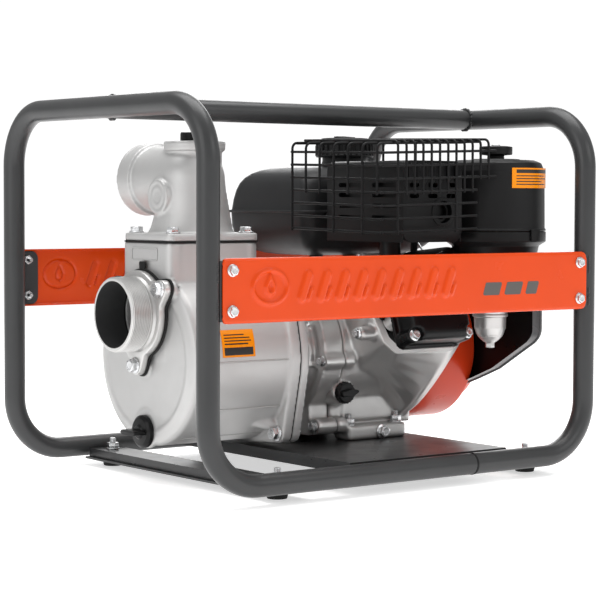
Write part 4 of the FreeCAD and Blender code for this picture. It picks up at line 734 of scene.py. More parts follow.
# ---------------------------------------------------------------- pump
def casing_details(bm):
    """What the casting carries besides the CAD shape: ear pads, corner columns, rims, a blank plate."""
    top = span("pump_casing")[1].z
    prism(bm, rear_outline(), 13.4, moved(EAR_FRONT, 0, 0) @ ACROSS_X, 2.2)
    for y, z in EARS:
        toe = Vector((SHAFT.y - y, SHAFT.z - z)).normalized()
        near, far = [Vector((y, z)) + toe * reach for reach in (10, 34)]
        tube(bm, [(EAR_FRONT - 52, far.x, far.y), (EAR_FRONT + 4, near.x, near.y)], 8, 12)
    for x in (OUTLET.x - 53, OUTLET.x + 51):
        for y in (-40.5, 40.5):
            post = [(0, 0), (0, 4), (34, 11), (top - 190 - 0.2, 11.5), (top - 190 - 0.2, 0)]
            lathe(bm, post, (x, SHAFT.y + y, 190), steps=28)
    ridge = [(-1.4, 86), (-1.4, 89), (2, 94), (4, 80)]
    lathe(bm, ridge, (CASING_FRONT, SHAFT.y, SHAFT.z), (1, 0, 0), closed=True, steps=96)
    plate = [Vector((SHAFT.y + y, 268 + z)) for y, z in ((-29, -9), (29, -9), (29, 9), (-29, 9))]
    place = toward((-1, 0, 0), (CASING_FRONT + 2, 0, 0))
    flat = [(place.inverted() @ Vector((CASING_FRONT, point.x, point.y))).xy for point in plate]
    prism(bm, eased(flat, 3, closed=True), 3.4, place, 0.9)


def mould_lines():
    """Fine parting ridges along the barrel, and the raised edge of the blank plate."""
    bm = bmesh.new()
    for turn in (180, 213, 242, 118, 298):
        y = SHAFT.y + (BARREL + 0.2) * math.cos(math.radians(turn))
        z = SHAFT.z + (BARREL + 0.2) * math.sin(math.radians(turn))
        tube(bm, [(-188, y, z), (-140, y, z), (EAR_FRONT + 1, y, z)], 0.8, 8)
    border = eased([(0, SHAFT.y + y, 268 + z) for y, z in ((-27, -7), (27, -7), (27, 7), (-27, 7))], 2.5,
                   closed=True)
    tube(bm, [(CASING_FRONT - 1.5, point.y, point.z) for point in border], 0.7, 8, closed=True)
    finished("casing_mould_lines", bm, "cast_aluminium")


def casing():
    cast("cast_pump_casing", "pump_casing", 1.9, "cast_aluminium", extra=casing_details, ease=6, share=0.5)
    mould_lines()
    gasket = bmesh.new()
    prism(gasket, rear_outline(-1.5), 1.2, moved(EAR_BACK - 0.1, 0, 0) @ ACROSS_X)
    finished("casing_seal", gasket, "black_rubber", "casing_gasket")
    cast("cast_back_cover", "casing_back_cover", 2.0, "cast_aluminium", extra=back_cover_details, ease=4,
         share=0.4)


def rear_outline(grow=0.0):
    """Outline of the rear flange: a disc and four ears, joined by tangents."""
    ears = [(ear, 12.5 + grow) for ear in EARS]
    return hull_of_discs([((SHAFT.y, SHAFT.z), 108 + grow)] + ears)


def back_cover_details(bm):
    """Flange with its ears joined by tangents, and ribs round the cone between the pump and the engine."""
    prism(bm, rear_outline(), 11.4, moved(EAR_BACK + 1.1, 0, 0) @ ACROSS_X, 1.5)
    for i in range(8):
        place = (moved(0, SHAFT.y, SHAFT.z) @ turned(TURN * (i + 0.5) / 8, "X"))
        rib = bmesh.new()
        corners = [(-47, 62), (-14, 56), (-14, 64), (-47, 88)]
        rings = [[Vector((x, y, z)) for x, z in corners] for y in (-2.6, 2.6)]
        skin(rib, rings)
        join(bm, rib, place)


def suction_port():
    """Hose tail with a fine thread on a flange with three lobes, and the gasket with its pull tab."""
    front = PORT_LOW.x - 1.8
    back = FLANGE_BACK - 9
    profile = [(front, 39.2), (front, 42.0), (front + 1.2, 43.2)]
    pitch = 2.2
    for i in range(int((back - front - 5) / pitch)):
        x = front + 1.4 + pitch * i
        profile += [(x, 42.5), (x + pitch * 0.45, 43.95), (x + pitch * 0.6, 43.95)]
    profile += [(back - 3.0, 43.2), (back - 1, 44.4), (back + 2, 46.5), (FLANGE_BACK, 46.5),
                (FLANGE_BACK, 39.0)]
    bm = bmesh.new()
    lathe(bm, profile, (0, SHAFT.y, PORT_Z), (1, 0, 0), closed=True, steps=96)
    lobed_ring(bm, back, FLANGE_BACK, 51.0, 39.2, LOBE_TURNS, LOBE_REACH + 11.5, 0.23, 1.8)
    piece = finished("threaded_suction_port", bm, "cast_aluminium", "suction_port", finish="port_aluminium",
                     sharp=42)
    # Faces inside the bore get a near-black finish, which is painted shade for the dark interior.
    piece.data.materials.append(FINISHES["bore_painted_shade"])
    for polygon in piece.data.polygons:
        spot = polygon.center / MM
        inside = math.hypot(spot.y - SHAFT.y, spot.z - PORT_Z) < 41.4
        polygon.material_index = 1 if inside and spot.x > front + 0.5 else 0
    low, high = span("suction_gasket")
    bm = bmesh.new()
    lobed_ring(bm, low.x - 0.3, high.x + 0.3, 53.0, 39.1, LOBE_TURNS, LOBE_REACH + 13.4, 0.242, 0.6)
    tab = eased([(-5, 46), (-6.5, 61.5), (6.5, 61.5), (5, 46)], 2.5)
    place = moved(low.x + 0.2, SHAFT.y, PORT_Z) @ QUARTER_Z
    prism(bm, tab, 1.8, place @ QUARTER_X, 0.5)
    finished("suction_seal_ring", bm, "black_rubber", "suction_gasket")


def lobed_ring(bm, start, end, radius, bore, turns, reach, spread, edge=1.2, steps=180):
    """Ring about the suction axis whose outside swells smoothly into a lobe at each screw."""
    angles = [TURN * i / steps for i in range(steps)]
    outside = []
    for angle in angles:
        gaps = [(angle - turn + math.pi) % TURN - math.pi for turn in turns]
        outside.append(radius + sum((reach - radius) * math.exp(-abs(gap / spread) ** 2.6) for gap in gaps))
    profile = ((start, -edge), (start + edge * 0.3, -edge * 0.3), (start + edge, 0), (end - edge, 0),
               (end - edge * 0.3, -edge * 0.3), (end, -edge))
    rings = [[Vector((x, SHAFT.y + (far + inset) * math.cos(angle),
                      PORT_Z + (far + inset) * math.sin(angle)))
              for angle, far in zip(angles, outside)] for x, inset in profile]
    rings += [[Vector((x, SHAFT.y + bore * math.cos(angle),
                       PORT_Z + bore * math.sin(angle))) for angle in angles]
              for x in (end, start)]
    skin(bm, rings, closed=True)


def pump_screws():
    """Flanged screws of the rear ears, the suction lobes and the outlet flange."""
    bm = bmesh.new()
    for i, (y, z) in enumerate(EARS):
        hex_head(bm, (EAR_FRONT, y, z), (-1, 0, 0), 14, 8.5, 10.0, roll=0.5 * i)
        threaded(bm, (EAR_FRONT, y, z), (1, 0, 0), 4.9, 33)
    for i, turn in enumerate(LOBE_TURNS):
        spot = (FLANGE_BACK - 9, SHAFT.y + LOBE_REACH * math.cos(turn),
                PORT_Z + LOBE_REACH * math.sin(turn))
        hex_head(bm, spot, (-1, 0, 0), 14, 8.0, 9.6, roll=0.4 + i)
    finished("pump_screws", bm, "zinc_steel", "pump_bolts")
    bm = bmesh.new()
    seat = span("discharge_bolts")[1].z - 7
    for x in (-52, 52):
        for y in (-39, 39):
            hex_head(bm, (OUTLET.x + x, SHAFT.y + y, seat), (0, 0, 1), 13, 7, 9.0, roll=0.01 * x + 0.02 * y)
    finished("outlet_screws", bm, "zinc_steel", "discharge_bolts")


def elbow_details(bm):
    """Raised rings, the round boss and the swelling neck of the outlet casting."""
    high = span("discharge_elbow")[1]
    for y in (high.y - 24.2, high.y - 1.4):
        ring = [(OUTLET.x + 43.0 * math.cos(TURN * i / 64), y, ELBOW_Z + 43.0 * math.sin(TURN * i / 64))
                for i in range(64)]
        tube(bm, ring, 1.6, 8, closed=True)
    boss = (OUTLET.x - 45.3, SHAFT.y + 5, 335)
    lathe(bm, [(2, 17), (-1.0, 17), (-1.0, 20.5), (2, 21)], boss, (1, 0, 0), closed=True, steps=48)
    lathe(bm, [(2, 9), (-0.8, 9), (-0.8, 11.5), (2, 11.5)], boss, (1, 0, 0), closed=True, steps=36)
    neck = eased([(0, 35.5), (0, 52), (7, 48), (22, 44), (48, 41), (48, 35.5)], 6)
    lathe(bm, neck, (OUTLET.x, SHAFT.y, OUTLET.z + 10), closed=True)
    lip = eased([(-10, 31), (-10, 36), (-1.5, 37.2), (0.6, 34.6), (-0.5, 31.6)], 1.2)
    lathe(bm, lip, (FILLER_X, SHAFT.y, high.z), closed=True)


def outlet():
    cast("cast_discharge_elbow", "discharge_elbow", 1.6, "cast_aluminium", extra=elbow_details, ease=5,
         share=0.55)
    low, high = span("discharge_gasket")
    bm = bmesh.new()
    prism(bm, rectangle(high.x - low.x + 1.6, high.y - low.y + 1.6, 10,
                        ((low.x + high.x) / 2, (low.y + high.y) / 2)),
          high.z - low.z + 0.4, moved(0, 0, low.z - 0.2), 0.3)
    finished("outlet_seal", bm, "black_rubber", "discharge_gasket")


def pump_plugs():
    """Priming plug with its T handle, and drain plug with its wing."""
    top = span("priming_plug")[1].z
    plug = (FILLER_X, SHAFT.y, top)
    bm = bmesh.new()
    lathe(bm, eased([(-20, 0), (-20, 25.6), (-15, 25.6), (-15, 30.4), (-12, 30.4), (-11, 26), (-11, 12),
                     (-8, 9), (-8, 0)],
                    0.9), plug)
    prism(bm, rectangle(36, 13, 4), 12.2, moved(FILLER_X, SHAFT.y, top - 12.2), 2.2, 3)
    finished("priming_plug_moulded", bm, "black_plastic", "priming_plug", body="priming_plug_body")
    low, high = span("drain_plug")
    plug = (high.x, (low.y + high.y) / 2, (low.z + high.z) / 2)
    bm = bmesh.new()
    lathe(bm, eased([(0, 0), (0, 10.9), (11, 10.9), (11.2, 19.4), (17.0, 19.4), (20, 16), (20.6, 9),
                     (22.5, 7), (22.5, 0)],
                    1.2), plug, (-1, 0, 0))
    wing = moved(high.x - 36.6, 0, 0) @ ACROSS_X
    prism(bm, rectangle(31, 5.6, 2.4, (plug[1], plug[2])), 17, wing, 1.6, 3)
    finished("drain_plug_moulded", bm, "black_plastic", "drain_plug", body="drain_plug_body",
             finish="black_gloss")


def curved_label(name, spot, half_turn, low, high, rows):
    """Blank sticker with generic dark bars. `spot(share, level, lift)` gives a point over the surface."""
    bm = bmesh.new()

    def patch(first, last, start, end, lift, thick):
        rings = []
        for i in range(15):
            share = first + (last - first) * i / 14
            rings.append([spot(share * half_turn, start, lift), spot(share * half_turn, end, lift),
                          spot(share * half_turn, end, lift + thick),
                          spot(share * half_turn, start, lift + thick)])
        skin(bm, rings)
    patch(-1, 1, low, high, 0.1, 0.2)
    base = len(bm.faces)
    for first, last, start, end in rows:
        patch(first, last, low + (high - low) * start, low + (high - low) * end, 0.32, 0.06)
    bmesh.ops.recalc_face_normals(bm, faces=bm.faces)
    for index, face in enumerate(bm.faces):
        face.material_index = 0 if index < base else 1
    mesh = bpy.data.meshes.new(name)
    bm.to_mesh(mesh)
    bm.free()
    piece = dressed(name, mesh, "orange_panel", finish="label_amber")
    piece.data.materials.append(FINISHES["label_ink"])


def casing_label():
    centre = math.radians(168)

    def spot(turn, level, lift):
        angle = centre + turn
        return Vector((level, SHAFT.y + (BARREL + lift) * math.cos(angle),
                       SHAFT.z + (BARREL + lift) * math.sin(angle)))
    rows = ((-0.86, -0.3, 0.06, 0.94), (-0.1, 0.0, 0.08, 0.8), (0.14, 0.22, 0.08, 0.9),
            (0.36, 0.44, 0.08, 0.86),
            (0.58, 0.66, 0.08, 0.7))
    curved_label("casing_label", spot, -0.155, -168, -122, rows)


def cleaner_label():
    centre = math.radians(281.5)

    def spot(turn, level, lift):
        angle = centre + turn
        return Vector((CLEANER.x + (61.2 + lift) * math.cos(angle),
                       CLEANER.y + (61.2 + lift) * math.sin(angle), level))
    rows = ((-0.85, 0.85, 0.74, 0.92), (-0.85, 0.5, 0.58, 0.63), (-0.85, 0.75, 0.44, 0.49),
            (-0.85, 0.3, 0.30, 0.35),
            (-0.85, 0.6, 0.16, 0.21))
    curved_label("cleaner_label", spot, 0.62, 347, 371.5, rows)


# ---------------------------------------------------------------- engine
def skirt_outline(scale=1.0, shift=(0, 0)):
    """Outline of the flared skirt, across the cylinder's axis."""
    points = [(-57, 44), (-57, 14), (-47, 4), (-39, -25), (-24, -39.5), (64, -39.5), (87, -28), (90, 20),
              (60, 46)]
    return [point * scale + Vector(shift) for point in eased(points, 10, closed=True)]


def crankcase_body(bm):
    """Crankcase drum, sump, feet, flared skirt round the cylinder, dipstick boss and lugs."""
    lathe(bm, eased([(30, 0), (30, 78), (150, 78), (150, 0)], 5), (0, SHAFT.y, SHAFT.z), (1, 0, 0),
          steps=80)
    sump = eased([(-22, 44), (124, 44), (124, 150), (-22, 150)], 8, closed=True)
    prism(bm, sump, 108, moved(30, 0, 0) @ ACROSS_X, 4)
    for low, high in ((-41, -8), (116, 148)):
        foot = [(46, low), (138, low), (138, high), (46, high)]
        prism(bm, eased(foot, 4, closed=True), 18, moved(0, 0, 36), 1.5)
    rim = [CYLINDER @ Vector((point.x, point.y, 130)) for point in skirt_outline()]
    base = eased([(42, 214), (40, 176), (44, 144), (58, 118), (94, 106), (136, 60), (158, 62), (168, 150),
                  (152, 214)],
                 9, closed=True)
    rings = []
    for share in (0, 0.04, 0.15, 0.3, 0.45, 0.6, 0.75, 0.9, 1.0):
        inward = 1 - (1 - share) ** 1.45
        rings.append([(top.x + (foot.x - top.x) * inward, top.y + (-20 - top.y) * share,
                       top.z + (foot.y - top.z) * inward) for top, foot in zip(rim, base)])
    skirt = bmesh.new()
    skin(skirt, rings)
    bmesh.ops.recalc_face_normals(skirt, faces=skirt.faces)
    join(bm, skirt)
    web = bmesh.new()
    corners = [(30, 52), (40, 120), (42, 200), (168, 200), (168, 150), (160, 52)]
    skin(web, [[Vector((x, y, z)) for x, z in corners] for y in (-21, 0)])
    bmesh.ops.recalc_face_normals(web, faces=web.faces)
    join(bm, web)
    pad = eased([(47, 58), (132, 58), (132, 104), (112, 118), (78, 122), (47, 112)], 10, closed=True)
    prism(bm, pad, 5.5, moved(0, -21, 0) @ QUARTER_X, 2)
    boss = eased([(0, 8), (0, 14), (4, 15), (24, 18), (24, 8)], 2)
    lathe(bm, boss, (34, -42.6, 97), (0, 1, 0), closed=True, steps=40)
    for y, z in COVER_SCREWS:
        lathe(bm, eased([(0, 0), (0, 10), (14, 10), (20, 5), (20, 0)], 2), (30, y, z), (1, 0, 0), steps=28)
    for x, y, z in ((30, -86, 172), (66, -50, 140)):
        lathe(bm, eased([(-8, 0), (-8, 9), (16, 9), (24, 4), (24, 0)], 2), (x, y, z), (1, 0, 0), steps=28)


def cylinder_barrel(bm):
    """Finned barrel and head inside the skirt."""
    core = [CYLINDER @ Vector((0, 0, depth)) for depth in (131, 162)]
    tube(bm, core, 26, 40)
    for i in range(7):
        plate = CYLINDER @ moved(14, 4, 132 + 4.4 * i)
        prism(bm, rectangle(56, 50, 9), 2.8, plate, 0.8)


def crankcase():
    bore = bmesh.new()
    bore_radius = 34.8
    tube(bore, [CYLINDER @ Vector((0, 0, depth)) for depth in (22, 140)], bore_radius, 64)
    bmesh.ops.recalc_face_normals(bore, faces=bore.faces)
    cast("cast_crankcase", "crankcase", 2.0, "engine_aluminium", extra=crankcase_body, copied=False, ease=9,
         share=0.5, cavity=bore)
    cast("cast_crankcase_cover", "crankcase_cover", 2.0, "engine_aluminium", extra=cover_details, ease=4,
         share=0.45)
    cast("cast_cylinder_head", "cylinder_head", 1.2, "engine_aluminium", extra=cylinder_barrel,
         copied=False, ease=2, share=0.5)
    bm = bmesh.new()
    boot = [CYLINDER @ Vector(point) for point in ((-26, -2, 131), (-24, 0, 142), (-14, 4, 158))]
    tube(bm, eased(boot, 8), 11, 28)
    tube(bm, [CYLINDER @ Vector(point) for point in ((-14, 4, 146), (30, 4, 146))], 9, 24)
    finished("head_elbow", bm, "engine_aluminium")
    bm = bmesh.new()
    hex_head(bm, CYLINDER @ Vector((-34, 16, 136)), CYLINDER.to_3x3() @ Vector((0, 0, 1)), 10, 5, 7.5,
             roll=0.3)
    finished("bracket_screw", bm, "zinc_steel")
    rim = bmesh.new()
    outer = skirt_outline(1.0)
    inner = skirt_outline(0.84, (1.8, 1.3))
    levels = ((outer, 128.5), (outer, 131.6), (inner, 131.6), (inner, 128.5))
    rings = [[CYLINDER @ Vector((point.x, point.y, depth)) for point in outline] for outline,
             depth in levels]
    skin(rim, rings, closed=True)
    # The rim's near-white finish is a painted highlight, a lit copy of the engine aluminium.
    finished("skirt_machined_rim", rim, "engine_aluminium", finish="rim_painted_highlight")
    bm = bmesh.new()
    floor = [[CYLINDER @ Vector((point.x, point.y, depth)) for point in skirt_outline(0.88, (1.3, 0.9))]
             for depth in (129.0, 129.8)]
    skin(bm, floor)
    prism(bm, rectangle(13, 26, 3), 4, CYLINDER @ moved(-34, 14, 132), 1)
    prism(bm, rectangle(30, 8, 3), 4, CYLINDER @ moved(-24, 24, 132), 1)
    finished("skirt_shadow_plate", bm, "black_paint")


def cover_details(bm):
    """Ribs and a raised rim on the crankcase cover."""
    lathe(bm, [(0, 66), (-2.0, 68), (-2.0, 73), (2, 76)], (0.5, SHAFT.y, SHAFT.z), (1, 0, 0), closed=True,
          steps=72)
    for turn in range(0, 360, 45):
        place = moved(0, SHAFT.y, SHAFT.z) @ turned(math.radians(turn + 12), "X")
        rib = bmesh.new()
        skin(rib, [[Vector((x, y, z)) for x, z in ((1, 56), (-6, 58), (-1.5, 71), (1, 72))] for y in (-2.4,
                                                                                                      2.4)])
        join(bm, rib, place)


def engine_screws():
    """Screws of the crankcase cover and the valve cover, and the sump drain."""
    bm = bmesh.new()
    for i, (y, z) in enumerate(COVER_SCREWS):
        hex_head(bm, (0, y, z), (-1, 0, 0), 10, 6, 6.8, roll=0.35 * i)
        threaded(bm, (0, y, z), (1, 0, 0), 2.9, 40)
    for x, y, z in ((22, -86, 172), (58, -50, 140)):
        hex_head(bm, (x, y, z), (-1, 0, 0), 10, 6, 7.2, roll=0.6)
    finished("cover_screws", bm, "zinc_steel", "cover_bolts")
    bm = bmesh.new()
    for u in (-41.5, 41.5):
        for v in (-32, 32):
            hex_head(bm, CYLINDER @ Vector((u, v, 189)), CYLINDER.to_3x3() @ Vector((0, 0, 1)), 10, 6, 7.0,
                     roll=0.01 * u)
    finished("valve_cover_screws", bm, "zinc_steel", "valve_cover_bolts")
    bm = bmesh.new()
    hex_head(bm, (98, -41, 45), (0, -1, 0), 13, 8, 9.4, roll=0.25)
    finished("sump_drains", bm, "zinc_steel")


def valve_cover():
    cast("pressed_valve_cover", "valve_cover", 1.5, "black_paint", finish="black_gloss", ease=5, share=0.5)


def oil_filler():
    """Oil cap: ribbed disc with a pointed wing."""
    face = -43.3
    spot = (34, face, 97)
    bm = bmesh.new()
    lathe(bm, eased([(-4, 0), (-4, 7.9), (0, 7.9), (0, 13), (6.5, 13), (8.5, 11.5), (8.5, 0)], 0.9), spot,
          (0, -1, 0))
    for i in range(18):
        turn = TURN * i / 18
        tube(bm, [(spot[0] + 12.8 * math.cos(turn), face - 1.0, spot[2] + 12.8 * math.sin(turn)),
                  (spot[0] + 12.8 * math.cos(turn), face - 6.6, spot[2] + 12.8 * math.sin(turn))], 1.0, 6)
    wing = eased([(-11, -3.4), (6, -4.4), (19, 0), (6, 4.4), (-11, 3.4)], 2.0, closed=True)
    place = moved(34, face - 7.6, 97) @ QUARTER_X @ turned(0.12, "Z")
    prism(bm, wing, 6.4, place, 1.3, 3)
    finished("oil_cap_moulded", bm, "black_plastic", "oil_cap", body="oil_cap_body")


def shroud():
    """Sheet shroud with a folded rim, painted grey as the highlight of its lit edge."""
    back = span("engine_shroud")[1]
    edge = [(-175, 255), (-175.5, 198), (-175.8, 168), (-166, 158), (-140, 143), (-103, 121.5), (-66, 107),
            (-38, 97),
            (-20, 78), (12, 53.5), (60, 60), (104, 95), (119, 145), (104, 196), (60, 228), (12, 236),
            (-40, 255)]
    outline = [(point.x, point.y) for point in eased(edge, 30, closed=True, steps=8)]
    sheet = bmesh.new()
    prism(sheet, outline, 2.2, moved(back.x - 2.2, 0, 0) @ ACROSS_X, 0.5)
    tools = bmesh.new()
    lathe(tools, [(-10, 0), (-10, 66), (10, 66), (10, 0)], (back.x, SHAFT.y, SHAFT.z), (1, 0, 0), steps=72)
    carved("shroud_sheet", sheet, tools, "black_paint", "engine_shroud", finish="black_gloss")
    rim = bmesh.new()
    lower = eased([(back.x - 1.2, y, z) for y, z in edge[:9]], 30, steps=8)
    tube(rim, lower, 1.7, 10)
    flange = bmesh.new()
    inner = [Vector((back.x - 15, point.y, point.z)) for point in lower]
    made = [[flange.verts.new(point) for point in row] for row in (lower, inner)]
    for i in range(len(lower) - 1):
        flange.faces.new((made[0][i], made[0][i + 1], made[1][i + 1], made[1][i]))
    bmesh.ops.solidify(flange, geom=list(flange.faces), thickness=1.4)
    join(rim, flange)
    # The rim's grey finish is a painted highlight, a lighter copy of the shroud's black paint.
    finished("shroud_rim", rim, "black_paint", finish="shroud_edge_painted_highlight")


def carburetor():
    """Carburettor casting with its bright bowl, drain screw, mounting plate and linkage."""
    cast("cast_carburetor", "carburetor", 1.1, "engine_aluminium", finish="port_aluminium", ease=3,
         share=0.5)
    x, y = 187.0, -140.0
    bm = bmesh.new()
    lathe(bm, eased([(193.6, 0), (193.6, 21.8), (190, 21.8), (189, 19.8), (176, 19.4), (168, 16.5),
                     (162, 12), (158.4, 7.4),
                     (158.4, 0)], 1.2), (x, y, 0), steps=48)
    prism(bm, circle(5.8, steps=6), 7.5, toward((0, 0, -1), (x, y, 159)), 0.5)
    prism(bm, rectangle(52, 34, 7), 3.2, moved(x, y, 200), 0.6)
    hex_head(bm, (x - 20, y - 11, 203.2), (0, 0, 1), 8, 5, 5.4)
    hex_head(bm, (x + 20, y - 11, 203.2), (0, 0, 1), 8, 5, 5.4)
    finished("carburetor_bowl", bm, "engine_aluminium", finish="port_aluminium")
    bm = bmesh.new()
    tube(bm, eased([(147, -47, 282), (147, -70, 258), (165, -118, 248), (180, -158, 246), (196, -158, 246)],
                   8), 1.3, 8)
    tube(bm, eased([(150, -60, 250), (166, -120, 240), (178, -157, 238), (203, -157, 238)], 6), 1.0, 8)
    prism(bm, rectangle(34, 9, 3), 1.6, moved(180, -150, 250.4), 0.3)
    finished("linkage_rods", bm, "zinc_steel")


def lever(name, node, body, outline, y, thick, pin, pin_radius):
    """Flat hand lever on a round pin."""
    bm = bmesh.new()
    place = moved(0, y, 0) @ QUARTER_X
    prism(bm, eased(outline, 3, closed=True), thick, place, 0.5)
    lathe(bm, eased([(0, 0), (0, pin_radius), (8, pin_radius), (8, 0)], 0.6), (pin[0], y + 4.5, pin[1]),
          (0, -1, 0), steps=24)
    finished(name, bm, "black_plastic", node, body=body)


def levers():
    lever("throttle_lever_bent", "throttle_lever", "throttle",
          [(141.5, 256), (152.5, 256), (150.5, 294), (154, 298), (152, 314), (143, 315), (141, 299),
           (143.5, 294)], -41,
          3.0, (147, 262), 5.0)
    lever("choke_lever_flat", "choke_lever", "choke",
          [(149, 228), (160, 227), (175, 226.5), (180, 232), (175, 237.5), (160, 235), (149, 235.5)], -161,
          3.2, (175, 232), 5.0)
    lever("fuel_lever_flat", "fuel_lever", "fuel_valve",
          [(194, 215), (199, 209.5), (214, 211.5), (225, 211), (225, 219), (214, 218.5), (199, 220.5)],
          -161, 3.2, (200, 215), 5.0)


def bracket():
    """Dark flat bracket between the cylinder and the carburettor, with its screw."""
    bm = bmesh.new()
    plate = eased([(118, 222), (152, 222), (160, 236), (160, 262), (140, 270), (118, 262)], 5, closed=True)
    place = moved(0, -104, 0) @ QUARTER_X
    prism(bm, plate, 2.4, place, 0.5)
    finished("linkage_bracket", bm, "black_paint", finish="black_gloss")
    bm = bmesh.new()
    hex_head(bm, (132, -106.4, 246), (0, -1, 0), 10, 6, 7)
    finished("bracket_screw", bm, "zinc_steel")


def intake_side():
    """Cast manifold and breather hose between the head and the carburettor, under the tank."""
    bm = bmesh.new()
    tube(bm, eased([(134, -112, 214), (160, -118, 214), (187, -134, 214)], 14, steps=6), 12, 28)
    prism(bm, rectangle(46, 34, 8), 7, moved(134, -112, 214) @ QUARTER_Y, 1)
    prism(bm, rectangle(112, 40, 8, (128, 246)), 9, moved(0, -22, 0) @ QUARTER_X, 2)
    lathe(bm, eased([(0, 0), (0, 9), (16, 9), (16, 0)], 2), (150, -40, 258), (0, -1, 0), steps=28)
    finished("intake_manifold", bm, "engine_aluminium")
    bm = bmesh.new()
    hose = eased([(60, -62, 216), (86, -60, 240), (118, -66, 262), (160, -90, 268), (196, -100, 262)], 16,
                 steps=6)
    tube(bm, hose, 6.5, 20)
    finished("breather_hose", bm, "black_rubber")


def fan_parts():
    """Drum round the flywheel and the domed starter cover."""
    low, high = span("fan_housing")
    bm = bmesh.new()
    drum = eased([(low.x, 91.5), (low.x, 94.2), (low.x + 3, 94.2), (low.x + 4.5, 93), (high.x - 7, 93),
                  (high.x, 86),
                  (high.x, 66), (high.x - 1.6, 66), (high.x - 1.6, 85.4), (high.x - 7.6, 91.4)], 1.4)
    lathe(bm, drum, (0, SHAFT.y, SHAFT.z), (1, 0, 0), closed=True, steps=112)
    tools = bmesh.new()
    window = bmesh.new()
    bmesh.ops.create_cube(window, size=1)
    bmesh.ops.scale(window, vec=(52, 80, 130), verts=window.verts)
    join(tools, window, moved(low.x + 14, SHAFT.y - 72, SHAFT.z + 64))
    carved("fan_drum", bm, tools, "orange_housing", "fan_housing")
    low, high = span("recoil_cover")
    rim_x, top_x = 240.3, 262.0
    dome = bmesh.new()
    outer = eased([(rim_x, 78.2), (rim_x, 82.5), (rim_x + 2, 82.5), (rim_x + 3.5, 80), (top_x - 9, 77.5),
                   (top_x - 1.5, 66),
                   (top_x - 1.5, 62), (top_x - 3.5, 60), (top_x - 3.5, 36), (top_x, 33), (top_x, 0.1),
                   (top_x - 1.6, 0.1),
                   (top_x - 1.6, 30), (top_x - 5.3, 35), (top_x - 5.3, 61), (top_x - 10.5, 75.8)], 1.5)
    lathe(dome, outer, (0, SHAFT.y, SHAFT.z), (1, 0, 0), closed=True, steps=112)
    tools = bmesh.new()
    for i in range(20):
        place = (moved(0, SHAFT.y, SHAFT.z) @ turned(TURN * i / 20, "X")
                 @ moved(top_x - 12, 0, 48) @ QUARTER_Y
                 @ turned(0.35, "Z"))
        prism(tools, rectangle(19, 6.4, 3.1), 24, place)
    carved("recoil_dome", dome, tools, "orange_housing", "recoil_cover")
    bm = bmesh.new()
    for i in range(3):
        turn = TURN * i / 3 + 0.5
        hex_head(bm, (rim_x + 2, SHAFT.y + 84.5 * math.cos(turn), SHAFT.z + 84.5 * math.sin(turn)),
                 (1, 0, 0), 8, 5, 6.5)
    finished("recoil_screws", bm, "zinc_steel")
    bm = bmesh.new()
    lathe(bm, eased([(0, 2.3), (0, 6.5), (3, 6.5), (5, 5.2), (13, 5.2), (13, 2.3)], 0.8),
          (ROPE_X, 95, ROPE_Z), (0, 1, 0),
          closed=True, steps=28)
    finished("rope_eyelet", bm, "black_plastic")


def starter_handle():
    """Moulded T grip with finger ribs."""
    bm = bmesh.new()
    x, z = ROPE_X, ROPE_Z
    lathe(bm, eased([(-21, 0), (-21, 7), (-12, 8.2), (0, 7.4), (12, 8.2), (21, 7), (21, 0)], 2.5),
          (x, 125, z), steps=32)
    lathe(bm, eased([(0, 2.0), (0, 4.8), (10, 7.8), (12, 7.8), (12, 2.0)], 1.0), (x, 112, z), (0, 1, 0),
          closed=True,
          steps=28)
    for level in (-15, -9, 9, 15):
        ring = [(x + 8.0 * math.cos(TURN * i / 28), 125 + 8.0 * math.sin(TURN * i / 28),
                 z + level) for i in range(28)]
        tube(bm, ring, 0.7, 6, closed=True)
    finished("starter_grip_moulded", bm, "black_plastic", "starter_grip", body="starter_handle")


def starter_rope():
    """Twisted rope from the reel to the grip."""
    bm = bmesh.new()
    x, z = ROPE_X, ROPE_Z
    for strand in range(3):
        path = []
        for i in range(49):
            turn = TURN * (i / 7 + strand / 3)
            path.append((x + 0.9 * math.cos(turn), 88 + 24.5 * i / 48, z + 0.9 * math.sin(turn)))
        tube(bm, path, 1.05, 8)
    bmesh.ops.recalc_face_normals(bm, faces=bm.faces)
    piece = loose("starter_rope_twisted", bm)
    piece.data.transform(Matrix.Scale(MM, 4))
    piece.data.shade_smooth()
    piece.data.materials.append(FINISHES["rope"])
    return piece


